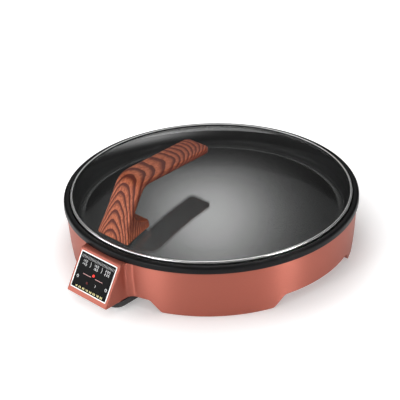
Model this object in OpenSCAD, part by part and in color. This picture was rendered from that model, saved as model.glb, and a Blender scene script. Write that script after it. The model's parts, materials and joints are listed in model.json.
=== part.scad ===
// Round electric baking pan with a lift-off domed glass lid and a bent wooden handle.
// Every piece is built about the pan's upright axis: the control box faces -Y, the power
// inlet faces +Y and the worktop is z = 0. placed() then moves the axis along Y, so that
// the origin lies under the middle of the whole object.

/* [Lid] */
// Outer diameter of the steel ring round the lid
lid_d = 343.6; // [330:0.2:356]
// Width of the steel ring seen from above
ring_w = 3.6; // [3.2:0.1:4.6]
// Height of the steel ring
ring_h = 6.9; // [6.7:0.1:8]
// Rise of the glass dome above the ring's inner edge
dome_rise = 24; // [18:0.5:30]
// Thickness of the glass
glass_t = 4; // [3:0.5:4]
// Room all round between the glass edge and its groove
glass_clear = 0.15; // [0.1:0.05:0.3]
// Gap between the resting lid and the pan's ledge
lid_gap = 0.3; // [0.2:0.1:0.6]
// Room round the lid inside the pan's rim
lid_clear = 1.5; // [1:0.1:2.5]

/* [Pan] */
// Depth of the bowl below the ledge that carries the lid
pan_depth = 26; // [22:0.5:28]
// Thickness of the cooking floor
pan_floor_t = 3; // [2.5:0.25:4]
// Thickness of the bowl's wall
pan_wall = 2.5; // [2:0.25:2.75]
// Radius between the floor and the wall, inside
pan_corner_r = 13; // [8:1:16]
// Width of the black rim outside the lid
rim_w = 6.9; // [6:0.1:9]
// Height of the rim above its gasket
rim_h = 6.3; // [5:0.1:8]
// Thickness of the ledge that carries the lid
ledge_t = 1.8; // [1.5:0.1:3]

/* [Casing] */
// Height of the casing's upper edge above the worktop
casing_h = 63.5; // [61:0.5:66]
// Thickness of the casing's wall
casing_wall = 2.5; // [2:0.25:2.75]
// Radius of the outward bow of the wall, seen from the side
bow_r = 500; // [400:10:900]
// Height of the arches between the legs
arch_h = 15.6; // [14.5:0.1:16.5]
// Width of an arch at its top
arch_w = 112.8; // [100:0.2:120]
// Width of an arch at the worktop
arch_foot_w = 138; // [130:1:142]
// Distance from the axis to the back wall of a leg
leg_rear_r = 148; // [147:0.5:150]

/* [Feet] */
// Radius of a rubber foot
foot_r = 8; // [6:0.5:9]
// Height by which the rubber feet lift the casing
foot_proud = 0.8; // [0.5:0.1:1.2]
// Thickness of a rubber foot's pad
foot_t = 2; // [1.6:0.1:2.6]

/* [Control box] */
// Width of the control box
box_w = 66; // [64:0.5:70]
// Distance from the axis to the lower front edge of the control box
box_reach = 213.5; // [211:0.5:218]
// Distance from the axis to the upper front edge of the control box
box_top_reach = 185; // [184:0.5:188]
// Depth of the control box's top below the casing's upper edge
box_drop = 1.5; // [1.4:0.1:4]
// Thickness of the sloping face
face_t = 3.2; // [3:0.1:4]
// Radius between the control box's sides and the casing
box_fillet_r = 9; // [6:0.5:11]
// Width of the panel over its bright frame
panel_w = 59; // [56:0.5:61]
// Height of the panel over its bright frame
panel_h = 43; // [40:0.5:44]
// Distance from the face's lower edge to the panel
panel_margin = 7; // [6:0.5:8]
// Width of the bright frame's line
bezel_w = 1.7; // [1.2:0.1:2.4]
// Height of the bright frame above the face
bezel_proud = 0.6; // [0.3:0.1:1]
// Radius of an indicator lens
lamp_r = 1.5; // [1:0.1:2]
// Height of the black tray under the control box
tray_h = 7.1; // [6:0.1:8]
// Width of the black tray
tray_w = 68; // [66:0.5:70]

/* [Handle] */
// Width of the grip
handle_w = 39; // [34:0.5:44]
// Thickness of the bent strip
handle_t = 7; // [6:0.5:10]
// Height of the grip's top above the glass dome
handle_rise = 45.4; // [38:0.2:56]
// Distance from the axis to the front of the foot
handle_front = 166; // [162:0.5:167]
// Distance from the axis to the corner between stem and grip
handle_bend = 131; // [126:0.5:136]
// Distance from the axis to the grip's free end
handle_end = 18; // [10:0.5:40]
// Width of the foot at its front edge
foot_w = 49; // [44:0.5:54]
// Length of the foot along the lid
foot_l = 38; // [34:0.5:41]
// Thickness of the seal under the foot
seal_t = 4; // [3:0.25:5]
// Distance between the two screws that hold the handle
handle_screw_pitch = 22; // [16:0.5:26]

/* [Power inlet] */
// Width of the inlet's flange
inlet_w = 48; // [46:0.5:52]
// Height of the inlet's flange
inlet_h = 22; // [21:0.5:22.5]
// Depth of the socket
socket_d = 16; // [14:0.5:17]

/* [Heating] */
// Radius of the heating ring, at the middle of its rod
element_r = 105; // [98:0.5:108]
// Diameter of the heating rod
element_d = 8; // [6:0.5:8]
// Distance from the axis to the studs under the pan
stud_ring_r = 120; // [119:0.5:124]
// Diameter of a stud
stud_d = 4.9; // [4:0.1:5.5]
// Radius of the heat shield
shield_r = 137; // [134:0.5:138]
// Thickness of the bottom cover
cover_t = 1.5; // [1:0.1:2]

/* [Hidden] */
$fn = 180;

// Colours
copper = [0.69, 0.42, 0.35];
black = [0.06, 0.06, 0.06];
coat = [0.13, 0.13, 0.13];
steel = [0.78, 0.78, 0.80];
wood = [0.70, 0.38, 0.25];
board_green = [0.10, 0.36, 0.20];

// Small clearances and overlaps
fit = 0.05;
room = 0.2;
cut = 1;

// Radii of the lid, the rim and the casing, from the lid outwards
ring_r = lid_d / 2;
ring_in_r = ring_r - ring_w;
glass_bite = 2.2;
glass_r = ring_in_r + glass_bite;
bowl_r = ring_in_r - 0.2;
ledge_r = ring_r + lid_clear;
rim_r = ledge_r + rim_w;
skirt_w = 2.2;
skirt_gap = 0.5;
casing_r = rim_r - skirt_w - skirt_gap;
axis_y = (box_reach - rim_r) / 2;

// Heights, from the casing's upper edge up and down
gasket_t = 0.7;
rim_under_z = casing_h + gasket_t;
ledge_z = rim_under_z + ledge_t;
rim_top_z = rim_under_z + rim_h;
skirt_z = casing_h - 1.2;
floor_z = ledge_z - pan_depth;
pan_under_z = floor_z - pan_floor_t;
ring_z = ledge_z + lid_gap;
ring_top_z = ring_z + ring_h;

// Glass dome, a sphere through the ring's inner edge
glass_inset = 1.2;
dome_r = (ring_in_r * ring_in_r + dome_rise * dome_rise) / (2 * dome_rise);
apex_z = ring_top_z - glass_inset + dome_rise;
dome_c = apex_z - dome_r;
function dome_z(r) = dome_c + sqrt(dome_r * dome_r - r * r);

// Casing shell
lip_t = 2.2;
neck_r = bowl_r + pan_wall + 1;
flange_z = arch_h;
flange_t = 2;
flange_top = flange_z + flange_t;
cover_hole_r = leg_rear_r - 13;
leg_z = foot_proud;
leg_floor_t = 3.2;
leg_floor_z = leg_z + leg_floor_t;
arch_corner_r = 3;
arch_slope = (arch_foot_w - arch_w) / (2 * arch_h);
arch_grow = casing_wall * sqrt(1 + arch_slope * arch_slope);
function wall_r(z) = casing_r - bow_r + sqrt(bow_r * bow_r - pow(casing_h - z, 2));
foot_ring_r = (leg_rear_r + wall_r(0)) / 2;
foot_seat_z = foot_t;
plug_r = 2.4;

// Control box, with its sloping face
box_top_z = casing_h - box_drop;
face_rise = box_top_z - arch_h;
face_run = box_reach - box_top_reach;
face_tilt = atan2(face_rise, face_run);
function face_y(z, inset) = -box_reach + (z - arch_h) / tan(face_tilt) + inset / sin(face_tilt);
box_low_edge_r = 1;
box_top_edge_r = 1.5;
pocket_d = 1.4;
panel_corner_r = 1.4;
overlay_proud = 0.2;
panel_v = panel_margin + panel_h / 2;
window_w = panel_w - 15;
window_h = panel_h - 15;
window_corner_r = 2;
heat_lamp_at = [0, 1];
timer_lamp_at = [-6, -10];
lamp_proud = 0.5;
passage_r = casing_r - 17;
sill_r = casing_r + 0.5;

// Tray under the control box
tray_front = box_reach - 16.5;
tray_corner_r = 12;
tray_back = leg_rear_r + 2;
tray_z = arch_h - tray_h;
tray_wall = 2;
tray_mouth = tray_front - tray_wall - 1;
tray_floor_t = 2.4;
tray_screw_x = box_w / 2 - casing_wall - 3;
tray_front_screw = tray_front - 6.5;
tray_back_screw = tray_back + 6.5;
boss_r = 3.6;
boss_h = 7;

// Small screws
screw_r = 1.5;
screw_head_r = 3;
screw_head_h = 1.6;

// Circuit boards
pcb_t = 1.6;
pcb_corner_r = 1;
pcb_screw_r = 1;
pcb_screw_bite = 1;
pcb_head_r = 1.9;
pcb_head_h = 1.2;
control_pcb = [panel_w - 5, panel_h - 5];
board_screw_at = [control_pcb.x / 2 - 2.5, control_pcb.y / 2 - 2.5];
chip_size = [14, 14, 2];
buzzer_at = [16, 4];
buzzer_r = 5;
buzzer_h = 3.5;
plug_size = [18, 5, 4];
plug_margin = 1;
ribbon_w = 14;
ribbon_t = 0.9;
ribbon_bulge = 3;
relay_size = [19, 13, 12];
relay_at = [-18, 9];
capacitor_at = [12, 15.5];
capacitor_r = 6;
capacitor_h = 12;
power_pcb = [46, 32];
power_gap = 0.6;
power_top = flange_top + pcb_t;
power_front = min(-face_y(power_top + power_gap, face_t + pcb_t + plug_size.z), tray_mouth) - power_gap;
post_at = [power_pcb.x / 2 - 4, power_front - 4];
block_size = [44, 7, 10];
block_y = -power_front + power_pcb.y - 8;
block_top = power_top + block_size.z;

// Heating stack under the pan, from the floor down
element_z = pan_under_z - element_d / 2 - fit;
clamp_t = 1.5;
clamp_top = element_z - element_d / 2 - fit;
clamp_z = clamp_top - clamp_t;
nut_h = 4;
nut_r = 4.6;
shield_t = 0.8;
shield_top = clamp_z - nut_h;
shield_z = shield_top - shield_t;
shield_rim = 5;
stud_r = stud_d / 2;
stud_hole_r = stud_r + fit;
stud_bottom = flange_z - cover_t - nut_h - 1;
stud_grip = 6;
boss_pan_r = 7;
element_end = 10;
pin_len = 20;
cover_r = leg_rear_r - 2;
cover_screw_r = (cover_r + cover_hole_r) / 2;
vent_from_r = 45;
vent_to_r = 85;
vent_w = 5;
vent_count = 12;
fuse_r = 2.2;
fuse_l = 14;
fuse_y = 60;
fuse_z = pan_under_z - fuse_r - fit;
fuse_bracket_w = 8;
sensor_r = 8;
sensor_h = 6;
sensor_lead_r = 5;
bracket_t = 1;
bracket_foot = 6;

// Power inlet at the back
inlet_t = 2.2;
body_w = inlet_w - 21;
body_h = inlet_h - 5;
inlet_z = pan_under_z - 0.5 - body_h / 2;
pad_y = wall_r(inlet_z + inlet_h / 2) + room;
pad_in_y = casing_r - 9.5;
inlet_face_y = pad_y + inlet_t;
body_back_y = inlet_face_y - socket_d - 4.5;
socket_wall = 2;
blade = [2, 4];
blade_tip_y = inlet_face_y - 6;
blade_back_y = body_back_y - (body_back_y - shield_r) / 3;
blade_pitch = 7;
blade_drop = 2;
inlet_screw_x = inlet_w / 2 - 4;
inlet_screw_bite = 5;
inlet_corner_r = 4;
socket_corner_r = 2;

// Handle on the dome
grip_top_z = apex_z + handle_rise;
handle_screw_r = 2;
handle_screw_y = -handle_front + 18;
glass_hole_r = 2.6;
seal_washer_t = 1;
washer_t = 1;
washer_r = 6;
grip_edge_r = 3;

// Wires
wire_r = 1.2;
wire_ring_r = (cover_hole_r + leg_rear_r) / 2 + 2.5;
wire_z = flange_top + wire_r + 0.1;

// Outlines

// Points along an arc about c
function arc(c, r, from, to, n) =
    [for (i = [0:n]) let(a = from + (to - from) * i / n) c + r * [cos(a), sin(a)]];

// Points that round the corner b between a and c
function corner(a, b, c, r, n = 5) =
    let(u = (a - b) / norm(a - b),
        v = (c - b) / norm(c - b),
        half = acos(u * v) / 2,
        o = b + (u + v) / norm(u + v) * r / sin(half),
        s = b + u * r / tan(half) - o,
        e = b + v * r / tan(half) - o,
        from = atan2(s.y, s.x),
        turn = (atan2(e.y, e.x) - from + 900) % 360 - 180)
    arc(o, r, from, from + turn, n);

// A closed outline with every corner rounded alike
function rounded(p, r, n = 5) =
    let(m = len(p)) [for (i = [0:m - 1]) each corner(p[(i + m - 1) % m], p[i], p[(i + 1) % m], r, n)];

function plate(w, h, r) = rounded([[-w, -h] / 2, [w, -h] / 2, [w, h] / 2, [-w, h] / 2], r);

// The bowed wall between two heights, moved inwards by inset
function bow(z0, z1, inset, n) =
    [for (i = [0:n]) let(z = z0 + (z1 - z0) * i / n) [wall_r(z) - inset, z]];

// Point on a curve with one control point
function bend_point(a, b, c, t) = (1 - t) * (1 - t) * a + 2 * t * (1 - t) * b + t * t * c;
function bend_slope(a, b, c, t) = 2 * (1 - t) * (b - a) + 2 * t * (c - b);

// Places

module placed() translate([0, axis_y, 0]) children();

// Local z leaves the sloping face, local y climbs it from its lower edge
module on_face() translate([0, -box_reach, arch_h]) rotate([face_tilt, 0, 0]) children();

// Local z leaves the outer face of the dome above the plan point x, y
module on_dome(x, y)
    translate([0, 0, dome_c])
    rotate([0, asin(norm([x, y]) / dome_r), atan2(y, x)])
    translate([0, 0, dome_r]) children();

module at_legs(r) for (a = [45:90:315]) rotate(a) translate([r, 0, 0]) children();
module at_arches(r) for (a = [0:90:270]) rotate(a) translate([r, 0, 0]) children();
module both_sides() for (side = [0, 1]) mirror([side, 0, 0]) children();

module tray_screw_points() both_sides() for (y = [tray_front_screw, tray_back_screw])
    translate([tray_screw_x, -y, 0]) children();

// Corners of the control board, seen from the middle of the panel
module board_screw_points() for (x = [-1, 1], y = [-1, 1])
    translate([x * board_screw_at.x, y * board_screw_at.y, 0]) children();

module handle_screw_points() both_sides() on_dome(handle_screw_pitch / 2, handle_screw_y) children();

// An outline in the Y-Z plane, carried along X
module across(width) rotate([90, 0, 90]) linear_extrude(width, center = true) children();

module ring(r_out, r_in, h) difference() {
    cylinder(r = r_out, h = h);
    translate([0, 0, -cut]) cylinder(r = r_in, h = h + 2 * cut);
}

// Swept solids

// Skin over a stack of closed rings with equal numbers of points
module skin(rings) {
    m = len(rings[0]);
    last = len(rings) - 1;
    points = [for (r = rings) each r];
    sides = [for (k = [0:last - 1], i = [0:m - 1])
        let(j = (i + 1) % m, a = k * m + i, b = k * m + j)
        each [[a, b + m, b], [a, a + m, b + m]]];
    floor_cap = [for (i = [1:m - 2]) [0, i, i + 1]];
    roof_cap = [for (i = [1:m - 2]) [last * m, last * m + i + 1, last * m + i]];
    polyhedron(points, concat(sides, floor_cap, roof_cap), convexity = 6);
}

function unit(v) = v / norm(v);
function tangent(p, i) = unit(p[min(i + 1, len(p) - 1)] - p[max(i - 1, 0)]);
function carried(p, i, n) =
    i == len(p) ? [] :
    let(t = tangent(p, i), m = unit(n - (n * t) * t)) concat([m], carried(p, i + 1, m));

// A round wire of radius r through the points p
module wire(p, r = wire_r, sides = 8) {
    normals = carried(p, 0, [0.3, 0.2, 0.9]);
    skin([for (i = [0:len(p) - 1])
        let(t = tangent(p, i), u = normals[i], v = cross(t, u))
        [for (k = [0:sides - 1]) p[i] + r * (cos(k * 360 / sides) * u + sin(k * 360 / sides) * v)]]);
}

// Casing

shell_profile = concat(
    bow(leg_z, casing_h, 0, 8),
    [[neck_r, casing_h], [neck_r, casing_h - lip_t]],
    bow(casing_h - lip_t, flange_top, casing_wall, 6),
    [[cover_hole_r, flange_top], [cover_hole_r, flange_z], [leg_rear_r, flange_z], [leg_rear_r, leg_z]]);

pocket_profile = concat(
    [[leg_rear_r + casing_wall, leg_floor_z]],
    bow(leg_floor_z, flange_top + cut, casing_wall, 3),
    [[leg_rear_r + casing_wall, flange_top + cut]]);

// Half the width of an arch at height z
function arch_x(z, grow) = arch_w / 2 + grow + (arch_h - z) * arch_slope;

arch_outline = let(low = [arch_x(-cut, 0), -cut], top = [arch_x(arch_h, 0), arch_h]) concat(
    [low],
    corner(low, top, [-top.x, top.y], arch_corner_r),
    corner(top, [-top.x, top.y], [-low.x, low.y], arch_corner_r),
    [[-low.x, low.y]]);

// The arch and the leg wall beside it, which the hollow of a leg leaves standing
arch_keep =
    let(low = [arch_x(-cut, arch_grow), -cut], x = arch_x(arch_h, arch_grow), z = flange_top + 2 * cut)
    [low, [x, arch_h], [x, z], [-x, z], [-x, arch_h], [-low.x, low.y]];

module arches(outline) for (a = [0:90:270])
    rotate([90, 0, a]) linear_extrude(rim_r) polygon(outline);

module casing_shell() difference() {
    rotate_extrude() polygon(shell_profile);
    arches(arch_outline);
    difference() {
        rotate_extrude() polygon(pocket_profile);
        arches(arch_keep);
    }
    at_legs(foot_ring_r) {
        translate([0, 0, leg_z - cut]) cylinder(r = foot_r + room, h = foot_seat_z - leg_z + cut);
        translate([0, 0, leg_z - cut]) cylinder(r = plug_r + 2 * fit, h = leg_floor_t + 2 * cut);
    }
}

box_profile = let(low = [-box_reach, arch_h], top = [-box_top_reach, box_top_z], back = -passage_r) concat(
    corner([back, arch_h], low, top, box_low_edge_r),
    corner(low, top, [back, box_top_z], box_top_edge_r),
    [[back, box_top_z], [back, arch_h]]);

hollow_profile = [
    [-tray_mouth, arch_h - cut],
    [-tray_mouth, arch_h + casing_wall],
    [face_y(arch_h + casing_wall, face_t), arch_h + casing_wall],
    [face_y(box_top_z - casing_wall, face_t), box_top_z - casing_wall],
    [-passage_r, box_top_z - casing_wall],
    [-passage_r, flange_top],
    [-sill_r, flange_top],
    [-sill_r, arch_h - cut]];

module box_outside() difference() {
    across(box_w) polygon(box_profile);
    translate([0, 0, arch_h - cut])
        cylinder(r1 = wall_r(arch_h) - casing_wall / 2,
                 r2 = wall_r(box_top_z) - casing_wall / 2,
                 h = face_rise + 2 * cut);
}

// Concave blend between a side of the control box and the casing, leaning with the wall
fillet_at = let(x = box_w / 2 + box_fillet_r, r = wall_r((arch_h + box_top_z) / 2) + box_fillet_r)
    [x, -sqrt(r * r - x * x)];
fillet_lean = atan2(wall_r(box_top_z) - wall_r(arch_h), face_rise);
fillet_outline = let(d = unit(fillet_at), foot = fillet_at - d * box_fillet_r) concat(
    arc(fillet_at, box_fillet_r, 180, atan2(-d.y, -d.x), 8),
    [foot - d * casing_wall / 2, [box_w / 2 - casing_wall / 2, fillet_at.y + box_fillet_r],
     [box_w / 2 - casing_wall / 2, fillet_at.y]]);

module box_fillet() intersection() {
    translate([0, 0, (arch_h + box_top_z) / 2])
        translate([fillet_at.x, fillet_at.y, 0])
        rotate(fillet_lean, [-fillet_at.y, fillet_at.x, 0])
        translate([-fillet_at.x, -fillet_at.y, 0])
        linear_extrude(2 * face_rise, center = true) polygon(fillet_outline);
    translate([0, -box_reach, arch_h]) cube([box_reach, box_reach, face_rise]);
}

module tray_boss() translate([0, 0, arch_h]) cylinder(r = boss_r, h = boss_h);

module panel_cut() on_face() translate([0, panel_v, 0]) {
    translate([0, 0, -pocket_d])
        linear_extrude(pocket_d + cut) polygon(plate(panel_w + 2 * fit, panel_h + 2 * fit, panel_corner_r));
    translate([0, 0, -face_t - cut])
        linear_extrude(face_t + cut) polygon(plate(window_w, window_h, window_corner_r));
    board_screw_points() translate([0, 0, -face_t - cut])
        cylinder(r = pcb_screw_r + fit, h = cut + pcb_screw_bite + room);
}

module inlet_pad() translate([-inlet_w / 2 - 1, pad_in_y, flange_z])
    cube([inlet_w + 2, pad_y - pad_in_y, inlet_z + inlet_h / 2 + 1 - flange_z]);

module inlet_cut() {
    translate([-body_w / 2 - room, pad_in_y - cut, inlet_z - body_h / 2 - room])
        cube([body_w + 2 * room, 3 * cut + pad_y - pad_in_y, body_h + 2 * room]);
    for (x = [-inlet_screw_x, inlet_screw_x])
        translate([x, pad_y - inlet_screw_bite - room, inlet_z]) rotate([-90, 0, 0])
            cylinder(r = screw_r + fit, h = inlet_screw_bite + room + cut);
}

module casing() color(copper) placed() difference() {
    union() {
        casing_shell();
        difference() {
            union() {
                box_outside();
                both_sides() box_fillet();
            }
            across(box_w - 2 * casing_wall) polygon(hollow_profile);
        }
        both_sides() translate([tray_screw_x, -tray_front_screw, 0]) tray_boss();
        inlet_pad();
    }
    difference() {
        across(box_w - 2 * casing_wall) polygon(hollow_profile);
        both_sides() translate([tray_screw_x, -tray_front_screw, 0]) tray_boss();
    }
    tray_screw_points() translate([0, 0, arch_h - cut]) cylinder(r = screw_r + fit, h = boss_h);
    at_arches(cover_screw_r) translate([0, 0, flange_z - cut])
        cylinder(r = screw_r + fit, h = flange_t + 2 * cut);
    panel_cut();
    inlet_cut();
}

module rubber_feet() color(black) placed() at_legs(foot_ring_r) {
    cylinder(r = foot_r, h = foot_seat_z);
    cylinder(r = plug_r, h = leg_floor_z + 1);
}

// Control box

tray_mid = -(tray_front + tray_back) / 2;
tray_l = tray_front - tray_back;

module control_tray() color(black) placed() difference() {
    union() {
        difference() {
            translate([0, tray_mid, tray_z])
                linear_extrude(tray_h) polygon(plate(tray_w, tray_l, tray_corner_r));
            translate([0, tray_mid, tray_z + tray_floor_t]) linear_extrude(tray_h)
                polygon(plate(tray_w - 2 * tray_wall, tray_l - 2 * tray_wall, tray_corner_r - tray_wall));
        }
        tray_screw_points() translate([0, 0, tray_z]) cylinder(r = boss_r, h = tray_h);
        both_sides() translate([post_at.x, -post_at.y, tray_z]) cylinder(r = 3, h = flange_top - tray_z);
    }
    tray_screw_points() {
        translate([0, 0, tray_z - cut]) cylinder(r = screw_head_r + room, h = screw_head_h + cut);
        translate([0, 0, tray_z - cut]) cylinder(r = screw_r + room, h = tray_h + 2 * cut);
    }
}

module tray_screws() color(steel) placed() {
    both_sides() translate([tray_screw_x, -tray_front_screw, tray_z]) {
        cylinder(r = screw_head_r, h = screw_head_h);
        cylinder(r = screw_r, h = tray_h + boss_h - 2 * cut);
    }
    both_sides() translate([tray_screw_x, -tray_back_screw, tray_z]) {
        cylinder(r = screw_head_r, h = screw_head_h);
        cylinder(r = screw_r, h = tray_h + flange_t);
    }
}

module panel_bezel() color(steel) placed() on_face() translate([0, panel_v, -pocket_d])
    linear_extrude(pocket_d + bezel_proud) difference() {
        polygon(plate(panel_w, panel_h, panel_corner_r));
        polygon(plate(panel_w - 2 * bezel_w, panel_h - 2 * bezel_w, panel_corner_r / 2));
    }

module panel_overlay() color(black) placed() on_face() translate([0, panel_v, -pocket_d]) difference() {
    linear_extrude(pocket_d + overlay_proud)
        polygon(plate(panel_w - 2 * (bezel_w + fit), panel_h - 2 * (bezel_w + fit), panel_corner_r / 2));
    for (at = [heat_lamp_at, timer_lamp_at])
        translate([at.x, at.y, -cut]) cylinder(r = lamp_r + fit, h = pocket_d + 3 * cut);
}

module lamp(at) on_face() translate([at.x, panel_v + at.y, -face_t])
    cylinder(r = lamp_r, h = face_t + lamp_proud);
module heat_lamp() color("red") placed() lamp(heat_lamp_at);
module timer_lamp() color("darkred") placed() lamp(timer_lamp_at);

module control_board() color(board_green) placed() on_face() translate([0, panel_v, -face_t - pcb_t]) {
    difference() {
        linear_extrude(pcb_t) polygon(plate(control_pcb.x, control_pcb.y, pcb_corner_r));
        board_screw_points() translate([0, 0, -cut])
            cylinder(r = pcb_screw_r + 2 * fit, h = pcb_t + 2 * cut);
    }
    translate([-chip_size.x / 2, -chip_size.y / 2, -chip_size.z]) cube(chip_size);
    translate([buzzer_at.x, buzzer_at.y, -buzzer_h]) cylinder(r = buzzer_r, h = buzzer_h);
    translate([-plug_size.x / 2, -control_pcb.y / 2 + plug_margin, -plug_size.z]) cube(plug_size);
}

module board_screws() color(steel) placed() on_face() translate([0, panel_v, -face_t - pcb_t])
    board_screw_points() translate([0, 0, -pcb_head_h]) {
        cylinder(r = pcb_head_r, h = pcb_head_h);
        cylinder(r = pcb_screw_r, h = pcb_head_h + pcb_t + pcb_screw_bite);
    }

module power_board() color(board_green) placed()
    translate([-power_pcb.x / 2, -power_front, flange_top]) cube([power_pcb.x, power_pcb.y, pcb_t]);

module relay() color("royalblue") placed()
    translate([relay_at.x, relay_at.y - power_front, power_top]) cube(relay_size);

module capacitor() color("dimgray") placed()
    translate([capacitor_at.x, capacitor_at.y - power_front, power_top])
    cylinder(r = capacitor_r, h = capacitor_h);

module terminal_block() color("ivory") placed()
    translate([-block_size.x / 2, block_y, power_top]) cube(block_size);

// A short flat lead from the plug on the control board down to the power board
link_v = panel_margin + (panel_h - control_pcb.y) / 2 + plug_margin + plug_size.y / 2;
link_in = face_t + pcb_t + plug_size.z;
link_top = [face_y(arch_h, 0) + link_v * cos(face_tilt) + link_in * sin(face_tilt),
            arch_h + link_v * sin(face_tilt) - link_in * cos(face_tilt)];
link_drop = link_top.y - power_top;

module board_ribbon() color("lightgray") placed() across(ribbon_w) polygon([
    link_top + [fit, 0],
    link_top + [ribbon_bulge, -0.3 * link_drop],
    [link_top.x + ribbon_bulge + ribbon_t, power_top],
    [link_top.x + ribbon_bulge, power_top],
    link_top + [ribbon_bulge - ribbon_t, -0.5 * link_drop],
    link_top + [fit, -ribbon_t]]);

// Power inlet

module power_inlet() color(black) placed() difference() {
    union() {
        translate([0, pad_y, inlet_z]) rotate([-90, 0, 0])
            linear_extrude(inlet_t) polygon(plate(inlet_w, inlet_h, inlet_corner_r));
        translate([-body_w / 2, body_back_y, inlet_z - body_h / 2])
            cube([body_w, pad_y - body_back_y + cut, body_h]);
    }
    translate([0, inlet_face_y - socket_d, inlet_z]) rotate([-90, 0, 0]) linear_extrude(socket_d + cut)
        polygon(plate(body_w - 2 * socket_wall, body_h - 2 * socket_wall, socket_corner_r));
    for (x = [-inlet_screw_x, inlet_screw_x]) translate([x, inlet_face_y, inlet_z]) rotate([90, 0, 0]) {
        translate([0, 0, -cut]) cylinder(r = screw_head_r + room, h = screw_head_h + cut);
        translate([0, 0, -cut]) cylinder(r = screw_r + room, h = inlet_t + 2 * cut);
    }
    for (k = [-1:1]) blade_at(k, fit);
}

// One of the three blades, k = 0 is the earth blade
module blade_at(k, grow)
    translate([k * blade_pitch - blade.x / 2 - grow, blade_back_y, inlet_z - blade.y / 2 - grow
               + (k == 0 ? blade_drop : -blade_drop)])
    cube([blade.x + 2 * grow, blade_tip_y - blade_back_y, blade.y + 2 * grow]);

module inlet_pins() color("gold") placed() for (k = [-1:1]) blade_at(k, 0);

module inlet_screws() color(steel) placed() for (x = [-inlet_screw_x, inlet_screw_x])
    translate([x, inlet_face_y, inlet_z]) rotate([90, 0, 0]) {
        cylinder(r = screw_head_r, h = screw_head_h);
        cylinder(r = screw_r, h = inlet_t + inlet_screw_bite);
    }

// Pan and heating

pan_out_r = bowl_r + pan_wall;
pan_corner_out_r = pan_corner_r + pan_wall;
rim_edge_r = 3;
skirt_in_r = rim_r - skirt_w;

pan_profile = concat(
    [[0, pan_under_z]],
    arc([pan_out_r - pan_corner_out_r, pan_under_z + pan_corner_out_r], pan_corner_out_r, -90, 0, 8),
    [[pan_out_r, rim_under_z], [skirt_in_r, rim_under_z], [skirt_in_r, skirt_z]],
    arc([rim_r - 0.8, skirt_z + 0.8], 0.8, -90, 0, 3),
    arc([rim_r - rim_edge_r, rim_top_z - rim_edge_r], rim_edge_r, 0, 90, 6),
    arc([ledge_r + 1.2, rim_top_z - 1.2], 1.2, 90, 180, 4),
    [[ledge_r, ledge_z], [bowl_r, ledge_z]],
    arc([bowl_r - pan_corner_r, floor_z + pan_corner_r], pan_corner_r, 0, -90, 8),
    [[0, floor_z]]);

module pan() color(coat) placed() difference() {
    union() {
        rotate_extrude() polygon(pan_profile);
        at_legs(stud_ring_r) translate([0, 0, clamp_top])
            cylinder(r = boss_pan_r, h = pan_under_z - clamp_top + pan_floor_t / 2);
    }
    at_legs(stud_ring_r) translate([0, 0, clamp_top - cut]) cylinder(r = stud_hole_r, h = stud_grip + cut);
}

module rim_gasket() color(black) placed() translate([0, 0, casing_h])
    ring(casing_r - 0.3, neck_r + 0.3, gasket_t);

module pan_studs() color(steel) placed() at_legs(stud_ring_r)
    translate([0, 0, stud_bottom]) cylinder(r = stud_r, h = clamp_top + stud_grip - stud_bottom);

module nut() difference() {
    cylinder(r = nut_r, h = nut_h, $fn = 6);
    translate([0, 0, -cut]) cylinder(r = stud_hole_r, h = nut_h + 2 * cut);
}

module stud_nuts() color(steel) placed() at_legs(stud_ring_r)
    for (z = [shield_top, shield_z - nut_h, flange_z - cover_t - nut_h]) translate([0, 0, z]) nut();

module heating_element() color("dimgray") placed() rotate(element_end - 90) translate([0, 0, element_z])
    rotate_extrude(angle = 360 - 2 * element_end) translate([element_r, 0]) circle(r = element_d / 2);

// Ceramic ends with steel pins that point to the control box
pin_x = element_r * sin(element_end);
pin_y = element_r * cos(element_end);

module element_pins() color("white") placed() both_sides()
    translate([pin_x - element_d / 2 - fit, -pin_y - pin_len, element_z]) rotate([-90, 0, 0]) {
        translate([0, 0, pin_len - element_d]) cylinder(r = element_d / 2 - 1, h = 2 * element_d);
        cylinder(r = wire_r, h = pin_len);
    }

module element_clamps() color(steel) placed() at_legs(0) translate([0, 0, clamp_z]) difference() {
    translate([element_r - element_d, -boss_pan_r, 0])
        cube([stud_ring_r + boss_pan_r - element_r + element_d, 2 * boss_pan_r, clamp_t]);
    translate([stud_ring_r, 0, -cut]) cylinder(r = stud_r + room, h = clamp_t + 2 * cut);
}

// The rim is left open where it would run into a clamp
module heat_shield() color(steel) placed() difference() {
    union() {
        translate([0, 0, shield_z]) cylinder(r = shield_r, h = shield_t);
        at_legs(stud_ring_r) translate([0, 0, shield_z]) cylinder(r = boss_pan_r, h = shield_t);
        difference() {
            translate([0, 0, shield_z]) ring(shield_r, shield_r - shield_t, shield_rim);
            at_legs(stud_ring_r) translate([0, 0, shield_top])
                cylinder(r = boss_pan_r + bracket_t, h = shield_rim);
        }
    }
    translate([0, 0, shield_z - cut]) cylinder(r = sensor_lead_r, h = shield_t + 2 * cut);
    at_legs(stud_ring_r) translate([0, 0, shield_z - cut])
        cylinder(r = stud_r + room, h = shield_t + 2 * cut);
}

sensor_z = pan_under_z - fit - sensor_h;

module temperature_sensor() color("silver") placed()
    translate([0, 0, sensor_z]) cylinder(r = sensor_r, h = sensor_h);

// A hat that presses the sensor against the pan
module sensor_bracket() color(steel) placed() translate([0, 0, shield_top]) {
    ring(sensor_r + bracket_foot, sensor_r - 2 * bracket_t, bracket_t);
    ring(sensor_r - bracket_t, sensor_r - 2 * bracket_t, sensor_z - shield_top);
}

module thermal_fuse() color("white") placed() translate([0, fuse_y, fuse_z]) rotate([0, 90, 0])
    cylinder(r = fuse_r, h = fuse_l, center = true);

// A bent strip that presses the fuse against the pan
fuse_shelf = fuse_z - fuse_r - fit - shield_top;

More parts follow.
